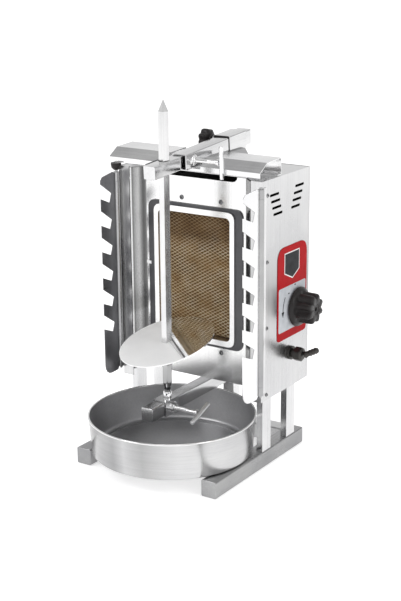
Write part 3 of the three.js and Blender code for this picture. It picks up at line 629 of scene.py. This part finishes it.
def tilted_tube(name, nodes, half, wall, body, ends, radius):
    """A square tube of the upper arm, in place of its CAD nodes."""
    start = arm_point(nodes[0], False)
    end = arm_point(nodes[-1], True)
    if ends == (False, True):
        end -= ARM_AXIS * 0.5 * MM    # keeps the closed end inside the CAD's box
    bm = bmesh.new()
    square_tube(bm, start, end, ARM_UP, half * MM, wall * MM, radius * MM, ends)
    return new_piece(name, bm, MATERIALS["polished"], body, nodes)


def bored(obj, radius, origin, axis, length):
    """Cuts a round hole through a piece."""
    half = length / 2
    bm = bmesh.new()
    turned(bm, [(0, -half), (radius, -half), (radius, half), (0, half)], 32, origin, axis)
    cutter = new_piece(obj.name + "_cutter", bm, MATERIALS["hole"], None)
    mod = obj.modifiers.new("bore", "BOOLEAN")
    mod.operation = "DIFFERENCE"
    mod.solver = "EXACT"
    mod.object = cutter
    bpy.context.view_layer.update()
    done = bpy.data.meshes.new_from_object(obj.evaluated_get(bpy.context.evaluated_depsgraph_get()))
    obj.modifiers.clear()
    obj.data = done
    bpy.data.objects.remove(cutter)
    smooth(obj)


def upper_arm():
    hole_radius, hole_length = 9.7 * MM, 80 * MM
    inner = tilted_tube("inner_tube_body", ("inner_tube_cap", "inner_tube"), 11.5, 1.5, "inner_arm",
                        (True, False), 1.8)
    bored(inner, hole_radius, Vector((SPIT.x, SPIT.y, middle("inner_tube").z)), UP, hole_length)
    tilted_tube("middle_tube_body", ("middle_tube", "middle_tube_cap"), 14, 1.9, "middle_arm",
                (False, True), 2.2)
    tilted_tube("rear_sleeve_body", ("rear_sleeve",), 16.4, 2.0, "casing", (False, False), 2.6)


# ---- burner guard, tray and small metal parts --------------------------------------------------

def guard():
    """Two sets of crimped wires that cross as flat diamonds, cut to the size of the CAD's guard."""
    lo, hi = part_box("guard_mesh")
    centre = (lo + hi) / 2
    half_x, half_z = (hi.x - lo.x) / 2, (hi.z - lo.z) / 2
    cell_x, cell_z = 10.5 * MM, 6.2 * MM
    wire, crimp = 0.52 * MM, 0.4 * MM
    sides = 4
    bm = bmesh.new()
    rows = int((half_z * 2 + half_x * 2 * cell_z / cell_x) / cell_z) + 2
    for lean in (1, -1):
        for row in range(-rows // 2, rows // 2 + 1):
            rings = []
            steps = int(half_x * 2 / (cell_x / 2))
            for step in range(steps + 1):
                x = -half_x + 2 * half_x * step / steps
                z = row * cell_z + lean * (step - steps / 2) * cell_z / 2
                if abs(z) > half_z:
                    if len(rings) > 1:
                        loft(bm, rings)
                    rings = []
                    continue
                y = lean * crimp * (1 if (step + row) % 2 else -1)
                turns = [TAU * k / sides for k in range(sides)]
                rings.append([centre + Vector((x, y + wire * math.cos(a), z + wire * math.sin(a)))
                              for a in turns])
            if len(rings) > 1:
                loft(bm, rings)
    new_piece("guard_weave", bm, MATERIALS["wire"], "casing", ("guard_mesh",), angle=80)


def arc(centre_r, centre_z, radius, start, end, steps):
    """Points on a circle, from one angle in degrees to another."""
    angles = [math.radians(start + (end - start) * k / steps) for k in range(steps + 1)]
    return [(centre_r + radius * math.cos(a), centre_z + radius * math.sin(a)) for a in angles]


def tray():
    """A spun tray: rolled rim, sloping wall, a rounded corner and a low ridge round its floor."""
    lo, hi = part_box("drip_tray")
    centre = (lo + hi) / 2
    rim = (hi.x - lo.x) / 2
    height = hi.z - lo.z
    base = rim - 5.8 * MM           # radius of the floor
    corner = 4 * MM
    bead = 1.5 * MM
    sheet = SHEET * MM
    ridge = base - 14 * MM          # radius of the ridge
    ridge_top = 1.7 * MM
    sides = 128

    inner_corner = corner * 1.6
    outside = [(0, 0), (base - corner, 0)] + arc(base - corner, corner, corner, -85, -5, 6)
    outside += arc(rim - bead, height - bead, bead, -60, 90, 6)
    inside = arc(rim - 2 * bead + bead * 0.7, height - bead, bead, 100, 180, 3)
    inside += arc(base - sheet - inner_corner, inner_corner + sheet, inner_corner, -5, -85, 6)
    inside += [(ridge + MM, sheet), (ridge, ridge_top), (ridge - MM, sheet), (0, sheet)]
    rings = [[Vector((centre.x + max(r, AXIS_RADIUS) * math.cos(TAU * k / sides),
                      centre.y + max(r, AXIS_RADIUS) * math.sin(TAU * k / sides), lo.z + z))
              for k in range(sides)] for r, z in outside + inside]
    bm = bmesh.new()
    loft(bm, rings)
    obj = new_piece("tray_spun", bm, MATERIALS["tray_out"], "tray", ("drip_tray",), angle=50)
    obj.data.materials.append(MATERIALS["tray_in"])
    obj.data.materials.append(MATERIALS["rim"])
    for face in obj.data.polygons:
        c = face.center
        radius = math.hypot(c.x - centre.x, c.y - centre.y)
        above = c.z - lo.z > 0.9 * MM
        facing_in = face.normal.x * (c.x - centre.x) + face.normal.y * (c.y - centre.y) < 0
        if above and (facing_in or radius < base - 3 * MM) and c.z < hi.z - 2.5 * MM:
            face.material_index = 1
        # painted highlight: the rolled rim and the ridge get a brighter steel
        if c.z > hi.z - 2 * bead or (abs(radius - ridge) < 1.5 * MM and above):
            face.material_index = 2


def pan_screw(name, place, axis, radius, material="chrome"):
    """A domed screw head with a cross recess and the washer under it; radius is in metres."""
    height = radius * 0.62
    washer, seat = 0.0004, 0.0005
    above = 0.0001          # how far the cross stands out of the dome, so that it shows
    slot_half, slot_width = radius * 0.55, radius * 0.13
    quarter = [math.radians(a) for a in range(0, 90, 15)]
    dome = [(radius * math.cos(a), seat + height * math.sin(a)) for a in quarter]
    bm = bmesh.new()
    turned(bm, [(0, 0), (radius * 1.25, 0), (radius * 1.25, washer), (radius, seat)] + dome
           + [(0, seat + height)], 20, place, axis)
    new_piece(name, bm, MATERIALS[material], "casing")
    # painted shade: the cross recess is a dark cross standing just out of the dome
    bm = bmesh.new()
    frame3 = basis(axis, Vector((0.2, 0.3, 1)))
    for u, v, lift in ((slot_width, slot_half, 0), (slot_half, slot_width, 0.00002)):
        outline = [frame3 @ Vector((a, b, height * 0.72)) for a, b in ((-u, -v), (u, -v), (u, v), (-u, v))]
        extrude_outline(bm, outline, frame3 @ Vector((0, 0, height * 0.28 + seat + above + lift)), place)
    new_piece(name + "_recess", bm, MATERIALS["hole"], "casing")


def screws():
    """Screws in the front panel, the side panels, the back cover and the saddle; radii are in millimetres."""
    front_radius, side_radius, back_radius, saddle_radius = 3.6, 3.0, 2.9, 2.2
    panel_face, side_row, saddle_face = 167, 164.5, 520.4
    for i, (x, z) in enumerate(((-28, 469.5), (53, 469.5), (-28, 196), (53, 196))):
        pan_screw(f"front_screw_{i}", at(x, panel_face, z), -Y_AXIS, front_radius * MM, "screw")
    for side, x, sign in (("left", LEFT_X, -1), ("right", RIGHT_X, 1)):
        for i, z in enumerate((492, 376, 258, 136)):
            place = at(0, side_row, z)
            place.x = x
            pan_screw(f"side_screw_{side}_{i}", place, X_AXIS * sign, side_radius * MM, "screw")
    for i, x in enumerate((-136, 0, 136)):
        for j, z in enumerate((138, 322, 506)):
            if (i, j) == (1, 1):
                continue
            place = at(x, 0, z)
            place.y = high("back_cover").y
            pan_screw(f"back_screw_{i}_{j}", place, Y_AXIS, back_radius * MM)
    for side, x in (("left", -35.5), ("right", 35.5)):
        for i, y in enumerate((262, 290)):
            pan_screw(f"saddle_screw_{side}_{i}", at(x, y, saddle_face), UP, saddle_radius * MM)


def thread(bm, origin, axis, radius, length, pitch, plain):
    """A clamp screw: threaded for its first part and plain after it."""
    profile = [(0, 0), (radius * 0.75, 0)]
    turns = int((length - plain) / pitch)
    for i in range(turns):
        profile += [(radius * 0.84, (i + 0.15) * pitch), (radius, (i + 0.6) * pitch)]
    profile += [(radius * 0.96, turns * pitch + 0.0004), (radius * 0.96, length), (0, length)]
    turned(bm, profile, 24, origin, axis)


COLLAR = ((0, 0), (5.2, 0), (5.6, 0.5), (5.6, 4), (5.0, 4.8), (0, 4.8))
WELD_NUT = ((0, 0), (10.2, 0), (10.4, 0.5), (10.4, 1.6), (8.8, 2.2), (8.8, 2.9), (9.4, 3.4), (9.4, 5.2),
            (8.4, 6.2), (6.6, 6.6), (6.4, 8.2), (5.6, 8.8), (0, 8.8))


def clamp_screws():
    """The two threaded rods, each with a collar just before its cross bar."""
    pitch, plain, collar_room = 1.25 * MM, 22 * MM, 5 * MM
    for which, body in (("upper", "upper_screw"), ("lower", "lower_screw")):
        node = f"{which}_clamp_screw"
        lo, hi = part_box(node)
        length = hi.x - lo.x
        origin = Vector((lo.x, (lo.y + hi.y) / 2, (lo.z + hi.z) / 2))
        bm = bmesh.new()
        thread(bm, origin, X_AXIS, (hi.y - lo.y) / 2, length, pitch, plain)
        collar = [(radius, length - collar_room + along) for radius, along in scaled(COLLAR)]
        turned(bm, collar, 24, origin, X_AXIS)
        new_piece(f"{which}_screw_thread", bm, MATERIALS["chrome"], body, (node,))


def clamp_nuts():
    """Round welded nuts with a rolled ring, where the two clamp screws enter their tubes."""
    for which, body, start in (("upper", "middle_arm", 14.0), ("lower", "slider", 13.8)):
        place = middle(f"{which}_clamp_screw")
        place.x = CENTRE_X + start * MM
        bm = bmesh.new()
        turned(bm, scaled(WELD_NUT), 36, place, X_AXIS)
        new_piece(f"{which}_clamp_nut", bm, MATERIALS["chrome"], body)


def sleeve_band():
    """A black strip at the mouth of the rear sleeve: painted shade in the gap where the middle tube enters.
    """
    mouth = arm_point("rear_sleeve", False)
    out, back, half, wall, radius = scaled([(1.9, 0.2, 16.2, 1.8, 2.4)])[0]
    bm = bmesh.new()
    square_tube(bm, mouth - ARM_AXIS * out, mouth + ARM_AXIS * back, ARM_UP, half, wall, radius)
    new_piece("sleeve_mouth_shade", bm, MATERIALS["black"], "casing")


SPIT_TURN = -0.29       # how far the spit is turned on its pin, in radians
SPIT_WASHER = ((0, 146.6), (5.6, 146.6), (5.9, 147.1), (5.9, 148.5), (5.4, 149), (0, 149))


def spit_bar():
    """A square bar ground to a point, with its lower corners planed off above the turned pin."""
    lo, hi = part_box("spit")
    turn = Matrix.Rotation(SPIT_TURN, 3, "Z")
    foot, tip = lo.z / MM, hi.z / MM
    # half width, corner radius, height
    stations = [(4.0, 4.0, foot), (4.5, 4.5, foot + 0.6), (4.5, 4.5, 146), (3.6, 3.6, 146.4), (3.6, 3.6, 149),
                (4.6, 3.2, 150), (6.4, 3.0, 158), (6.5, 2.8, 160), (6.5, 2.6, 186), (6.5, 0.8, 193),
                (6.5, 0.7, tip - 19), (6.1, 0.7, tip - 18.2), (0.7, 0.3, tip - 0.4), (0.3, 0.2, tip)]
    rings = [[Vector((SPIT.x, SPIT.y, z * MM)) + turn @ Vector((u * MM, v * MM, 0))
              for u, v in round_rect(half, half, corner * 0.99)] for half, corner, z in stations]
    bm = bmesh.new()
    loft(bm, rings)
    new_piece("spit_bar", bm, MATERIALS["spit"], "spit", ("spit",), angle=8)
    bm = bmesh.new()
    turned(bm, scaled(SPIT_WASHER), 32, Vector((SPIT.x, SPIT.y, 0)), UP)
    new_piece("spit_washer", bm, MATERIALS["gasket"], "spit")


DRAIN = ((0, 7.1), (1.5, 7.1), (1.6, 7.43), (0, 7.43))


def bearing():
    """The cup that carries the spit's pin, with a small dark hole in its side."""
    lo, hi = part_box("bearing_cup")
    foot, top = lo.z / MM, hi.z / MM
    cup = [(0, foot), (7.0, foot), (7.4, foot + 0.5), (7.4, top - 0.8), (6.9, top), (5.4, top),
           (5.0, top - 0.6), (5.0, foot + 1.8), (0, foot + 1.8)]
    bm = bmesh.new()
    turned(bm, scaled(cup), 40, Vector((SPIT.x, SPIT.y, 0)), UP)
    new_piece("bearing_turned", bm, MATERIALS["chrome"], "slider", ("bearing_cup",))
    # painted shade: the hole is a thin dark disc on the side of the cup
    outward = Vector((0.35, -0.94, 0)).normalized()
    height = (lo.z + hi.z) / 2 + 0.5 * MM
    bm = bmesh.new()
    turned(bm, scaled(DRAIN), 16, Vector((SPIT.x, SPIT.y, height)), outward)
    new_piece("bearing_drain_shade", bm, MATERIALS["hole"], "slider")


def fluted(bm, origin, axis, stations, lobes, sides, sharp):
    """A moulded grip: stations are (radius, flute depth, distance along the axis). A greater sharp makes
    narrower flutes."""
    frame3 = basis(axis, UP)
    rings = []
    for radius, depth, along in stations:
        ring = []
        for k in range(sides):
            angle = TAU * k / sides
            dip = (0.5 + 0.5 * math.cos(lobes * angle)) ** sharp
            r = max(radius - depth * dip, AXIS_RADIUS)
            ring.append(origin + frame3 @ Vector((r * math.cos(angle), r * math.sin(angle), along)))
        rings.append(ring)
    loft(bm, rings)


def control_knob():
    """A skirt and a grip with eight flutes and a dished face with a hole in it."""
    lo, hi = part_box("control_knob")
    origin = Vector((lo.x, (lo.y + hi.y) / 2, (lo.z + hi.z) / 2))
    face = (hi.x - lo.x) / MM
    skirt = [(0, 0, 0.2), (34.8, 0, 0), (35.8, 0, 0.8), (35.8, 0, 3.0), (34.6, 0, 4.4), (33.4, 0, 6.4)]
    grip = [(31.0, 0.6, 8.0), (28.6, 4.4, 9.4), (28.2, 7.0, 12), (27.8, 7.6, face - 5),
            (27.0, 7.6, face - 2.2), (25.4, 7.0, face - 0.6), (23.5, 6.2, face)]
    dish = [(10.5, 0.6, face - 0.1), (9.0, 0, face - 1.2), (4.2, 0, face - 1.2),
            (3.6, 0, face - 2.0), (3.4, 0, face - 9), (0, 0, face - 9)]
    bm = bmesh.new()
    fluted(bm, origin, X_AXIS, scaled(skirt + grip + dish), lobes=8, sides=128, sharp=1.2)
    new_piece("knob_moulding", bm, MATERIALS["black"], "gas_knob", ("control_knob",), angle=45)


def rear_knob():
    """A grip with seven flutes on a thin stem."""
    lo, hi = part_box("rear_clamp_knob")
    origin = Vector((hi.x, (lo.y + hi.y) / 2, (lo.z + hi.z) / 2))
    face = (hi.x - lo.x) / MM
    back = face - 22
    stem = [(0, 0, 0), (3, 0, 0.1), (3, 0, back - 0.2), (8.6, 0, back), (9, 0, back + 1), (9, 0, back + 4)]
    grip = [(15, 0.5, back + 5), (18.2, 3.0, back + 7.5), (18.7, 3.9, back + 11), (18.5, 3.9, face - 4),
            (17.0, 3.4, face - 1.2), (14.0, 2.4, face - 0.2), (6, 0, face), (0, 0, face)]
    bm = bmesh.new()
    fluted(bm, origin, -X_AXIS, scaled(stem + grip), lobes=7, sides=112, sharp=1.3)
    new_piece("rear_knob_moulding", bm, MATERIALS["black"], "rear_knob", ("rear_clamp_knob",), angle=45)


NOZZLE_LENGTH = 27
FIRST_BARB = 10
BARB_PITCH = 5.2
NUT_RADIUS = 13.4       # to the corners of the hexagon


def hose_nozzle():
    """A nozzle with three barbs and an open end, up to the place of the gas_inlet mount."""
    mount = next(m for m in frame["record"]["mounts"] if m["name"] == "gas_inlet")
    axis = Vector(mount["axis"])
    origin = Vector(mount["pos_m"]) - axis * NOZZLE_LENGTH * MM
    tip = NOZZLE_LENGTH
    profile = [(0, 0), (5.4, 0), (6.0, 1.0), (6.0, 3.5), (5.0, 4.8), (5.0, 9.5)]
    for i in range(3):
        start = FIRST_BARB + i * BARB_PITCH
        profile += [(5.9, start + 0.5), (6.1, start + 1.1), (4.7, start + 4.8)]
    profile += [(4.4, tip - 0.8), (3.8, tip), (2.6, tip), (2.4, tip - 0.8), (2.4, 9), (0, 9)]
    bm = bmesh.new()
    turned(bm, scaled(profile), 40, origin, axis)
    new_piece("nozzle_turned", bm, MATERIALS["oxide"], "casing", ("hose_nozzle",), angle=40)


def inlet_nut():
    """A hexagon nut with its corners turned off, and a round neck."""
    lo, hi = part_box("inlet_nut")
    place = Vector((lo.x, (lo.y + hi.y) / 2, (lo.z + hi.z) / 2))
    width = (hi.x - lo.x) / MM
    sides, sixth = 48, math.pi / 3
    stations = ((12.2, 0), (13.6, 1.2), (13.6, width - 4.5), (12.4, width - 2.6), (8.5, width), (5.4, width))
    rings = []
    for turned_to, along in stations:
        ring = []
        for k in range(sides):
            angle = TAU * k / sides
            hexagon = NUT_RADIUS * math.cos(sixth / 2) / math.cos((angle % sixth) - sixth / 2)
            r = min(turned_to, hexagon)
            ring.append(place + Vector((along, r * math.sin(angle), r * math.cos(angle))) * MM)
        rings.append(ring)
    bm = bmesh.new()
    loft(bm, rings)
    new_piece("inlet_nut_turned", bm, MATERIALS["oxide"], "casing", ("inlet_nut",), angle=25)


# ---- control label ------------------------------------------------------------------------------

# outlines in millimetres, as places on the side panel: (y, z) or, with a rounded corner, (y, z, radius)
LABEL_FIELD = ((199, 221, 9), (303, 221, 9), (303, 390, 24), (199, 390, 24))
LABEL_DIAL = ((204, 236, 4), (299, 236, 4), (299, 317, 4), (204, 317, 4))
BADGE_EDGE = ((223, 378), (276, 378), (276, 341), (251.7, 328), (223, 341))
BADGE = ((225, 376), (274, 376), (274, 342.2), (251.7, 330.4), (225, 342.2))
PRINT_LIFT = 0.38       # how far the arrow and the marks stand over the label
PRINT_DEPTH = 0.12


def label_layer(name, outline, lift, depth, material):
    """A thin layer of the label."""
    x = low("label_plate").x
    bm = bmesh.new()
    points = [Vector((x + lift * MM, START_Y + y * MM, z * MM)) for y, z in outline]
    extrude_outline(bm, points, Vector((depth * MM, 0, 0)))
    obj = new_piece(name, bm, MATERIALS[material], "casing", angle=30)
    return obj


def rounded(points, steps=7):
    """Rounds each corner of an outline."""
    result = []
    for i, (y, z, radius) in enumerate(points):
        here = Vector((y, z))
        before = Vector(points[i - 1][:2]) - here
        after = Vector(points[(i + 1) % len(points)][:2]) - here
        a = here + before.normalized() * radius
        b = here + after.normalized() * radius
        for k in range(steps + 1):
            t = k / steps
            result.append(tuple((1 - t) ** 2 * a + 2 * t * (1 - t) * here + t ** 2 * b))
    return result


def label():
    """The control label: red field, silver dial area and a blank badge, with a plain turning arrow."""
    field = label_layer("label_field", rounded(LABEL_FIELD), 0, 0.35, "red")
    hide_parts("label_plate")
    label_layer("label_dial_area", rounded(LABEL_DIAL), 0.3, 0.12, "silver")
    label_layer("label_badge_edge", BADGE_EDGE, 0.3, 0.1, "white")
    label_layer("label_badge", BADGE, 0.36, 0.14, "badge")

    knob = middle("control_knob")
    knob_y, knob_z = (knob.y - START_Y) / MM, knob.z / MM

    def round_knob(radius, degrees):
        return (knob_y + radius * math.cos(math.radians(degrees)),
                knob_z + radius * math.sin(math.radians(degrees)))

    arrow_radius, half_width, mark_radius = 50, 1.1, 43
    outer = [round_knob(arrow_radius + half_width, a) for a in range(148, 184, 4)]
    inner = [round_knob(arrow_radius - half_width, a) for a in range(180, 144, -4)]
    label_layer("label_arrow_arc", outer + inner, PRINT_LIFT, PRINT_DEPTH, "badge")
    y, z = knob_y - arrow_radius, knob_z - 3
    head = [(y - 4.5, z + 4), (y + 4.5, z + 4), (y, z - 7)]
    label_layer("label_arrow_head", head, PRINT_LIFT, PRINT_DEPTH, "badge")
    for i, angle in enumerate((100, 134)):
        y, z = round_knob(mark_radius, angle)
        mark = [(y - 2.5, z - 1), (y + 2.5, z - 1), (y + 2.5, z + 1), (y - 2.5, z + 1)]
        label_layer(f"label_mark_{i}", mark, PRINT_LIFT, PRINT_DEPTH, "badge")


# ---- camera, light and floor --------------------------------------------------------------------

# found by fitting the object's edges to the photo's: angles in radians, place in metres from the centre of
# the skids' front ends
CAMERA_YAW, CAMERA_PITCH, CAMERA_ROLL = 0.583, 0.289, -0.008
CAMERA_PLACE = Vector((1.25698, -1.72432, 0.95982))
CAMERA_LENS = 79.65


def camera():
    """A long lens, a little above the canopy, to the front right of the object."""
    yaw, pitch, roll = CAMERA_YAW, CAMERA_PITCH, CAMERA_ROLL
    place = Vector((CENTRE_X, START_Y, 0)) + CAMERA_PLACE
    forward = Vector((-math.sin(yaw) * math.cos(pitch), math.cos(yaw) * math.cos(pitch), -math.sin(pitch)))
    right = Vector((math.cos(yaw), math.sin(yaw), 0))
    up = right.cross(forward)
    right2 = right * math.cos(roll) + up * math.sin(roll)
    up2 = right2.cross(forward)
    data = bpy.data.cameras.new("camera")
    data.sensor_fit = "AUTO"
    data.sensor_width = 36
    data.lens = CAMERA_LENS
    data.clip_end = 200
    obj = bpy.data.objects.new("camera", data)
    bpy.context.scene.collection.objects.link(obj)
    rotation = Matrix((right2, up2, -forward)).transposed()
    obj.matrix_world = Matrix.Translation(place) @ rotation.to_4x4()
    bpy.context.scene.camera = obj


# (place, grey): from the horizon to straight up, and once round
WORLD_HEIGHT = ((0.0, 0.95), (0.10, 0.95), (0.34, 0.80), (0.45, 0.88), (0.62, 0.85), (0.82, 0.62), (1.0, 0.8))
WORLD_ROUND = ((0.0, 1.0), (0.10, 1.0), (0.14, 0.35), (0.18, 1.0), (0.36, 1.0), (0.42, 0.30), (0.47, 0.9),
               (0.62, 1.0), (0.66, 0.5), (0.70, 1.0), (0.90, 1.0), (0.94, 0.6), (1.0, 1.0))
FLOOR_REACH = 40
FLOOR_GLOW = 0.52       # makes the floor come out as white as the photo's background


def world():
    """A bright studio: greys that change with height, and a few darker uprights for the steel to mirror."""
    scene = bpy.context.scene
    scene.view_settings.view_transform = "Standard"
    scene.world = bpy.data.worlds.new("studio")
    scene.world.use_nodes = True
    tree = scene.world.node_tree
    background = tree.nodes["Background"]
    coord = tree.nodes.new("ShaderNodeTexCoord")
    separate = tree.nodes.new("ShaderNodeSeparateXYZ")
    tree.links.new(coord.outputs["Generated"], separate.inputs[0])

    def greys(stops, fac):
        node = tree.nodes.new("ShaderNodeValToRGB")
        elements = node.color_ramp.elements
        while len(elements) < len(stops):
            elements.new(0.5)
        for element, (place, value) in zip(elements, stops):
            element.position = place
            element.color = (value, value, value, 1)
        tree.links.new(fac, node.inputs["Fac"])
        return node.outputs["Color"]

    around = tree.nodes.new("ShaderNodeMath")
    around.operation = "ARCTAN2"
    tree.links.new(separate.outputs["Y"], around.inputs[0])
    tree.links.new(separate.outputs["X"], around.inputs[1])
    turn = tree.nodes.new("ShaderNodeMapRange")
    turn.inputs["From Min"].default_value = -math.pi
    turn.inputs["From Max"].default_value = math.pi
    tree.links.new(around.outputs[0], turn.inputs["Value"])
    mix = tree.nodes.new("ShaderNodeMix")
    mix.data_type = "RGBA"
    mix.blend_type = "MULTIPLY"
    mix.inputs["Factor"].default_value = 1.0
    tree.links.new(greys(WORLD_HEIGHT, separate.outputs["Z"]), mix.inputs["A"])
    tree.links.new(greys(WORLD_ROUND, turn.outputs["Result"]), mix.inputs["B"])
    tree.links.new(mix.outputs["Result"], background.inputs["Color"])
    background.inputs["Strength"].default_value = 1.0


def floor():
    """A wide pale floor, a little under the skids."""
    reach = FLOOR_REACH
    bm = bmesh.new()
    bm.faces.new([bm.verts.new((x, y, -0.0006))
                  for x, y in ((-reach, -reach), (reach, -reach), (reach, reach), (-reach, reach))])
    mesh = bpy.data.meshes.new("floor")
    bm.to_mesh(mesh)
    bm.free()
    obj = bpy.data.objects.new("floor", mesh)
    bpy.context.scene.collection.objects.link(obj)
    n = Nodes("pale_floor")
    n.link(n.ramp(n.noise(2, detail=2), [(0.3, (0.90, 0.90, 0.90)), (0.7, (0.93, 0.93, 0.93))]),
           n.shader.inputs["Base Color"])
    n.set(Roughness=0.9, Specular_IOR_Level=0.1, Emission_Color=(1, 1, 1, 1), Emission_Strength=FLOOR_GLOW)
    mesh.materials.append(n.material)


def area_light(name, place, target, size, power):
    data = bpy.data.lights.new(name, "AREA")
    data.shape = "RECTANGLE"
    data.size, data.size_y = size
    data.energy = power
    obj = bpy.data.objects.new(name, data)
    obj.location = place
    obj.rotation_euler = (Vector(target) - Vector(place)).to_track_quat("-Z", "Y").to_euler()
    bpy.context.scene.collection.objects.link(obj)


def lights():
    area_light("key", (-1.6, -2.2, 2.6), (0, 0, 0.3), (1.2, 1.2), 22)
    area_light("side", (2.6, -0.6, 1.6), (0, 0, 0.3), (0.8, 1.6), 10)
    area_light("top", (0, 0.4, 3.2), (0, 0, 0.2), (1.6, 1.6), 12)


camera()
world()
floor()
lights()
dress_cad_nodes()
paint_shade_inside_casing()
paint_shade_on_hinge_rolls()
burner_clip()
base_tubes()
upper_arm()
guard()
tray()
screws()
clamp_screws()
clamp_nuts()
sleeve_band()
spit_bar()
bearing()
control_knob()
rear_knob()
hose_nozzle()
inlet_nut()
label()
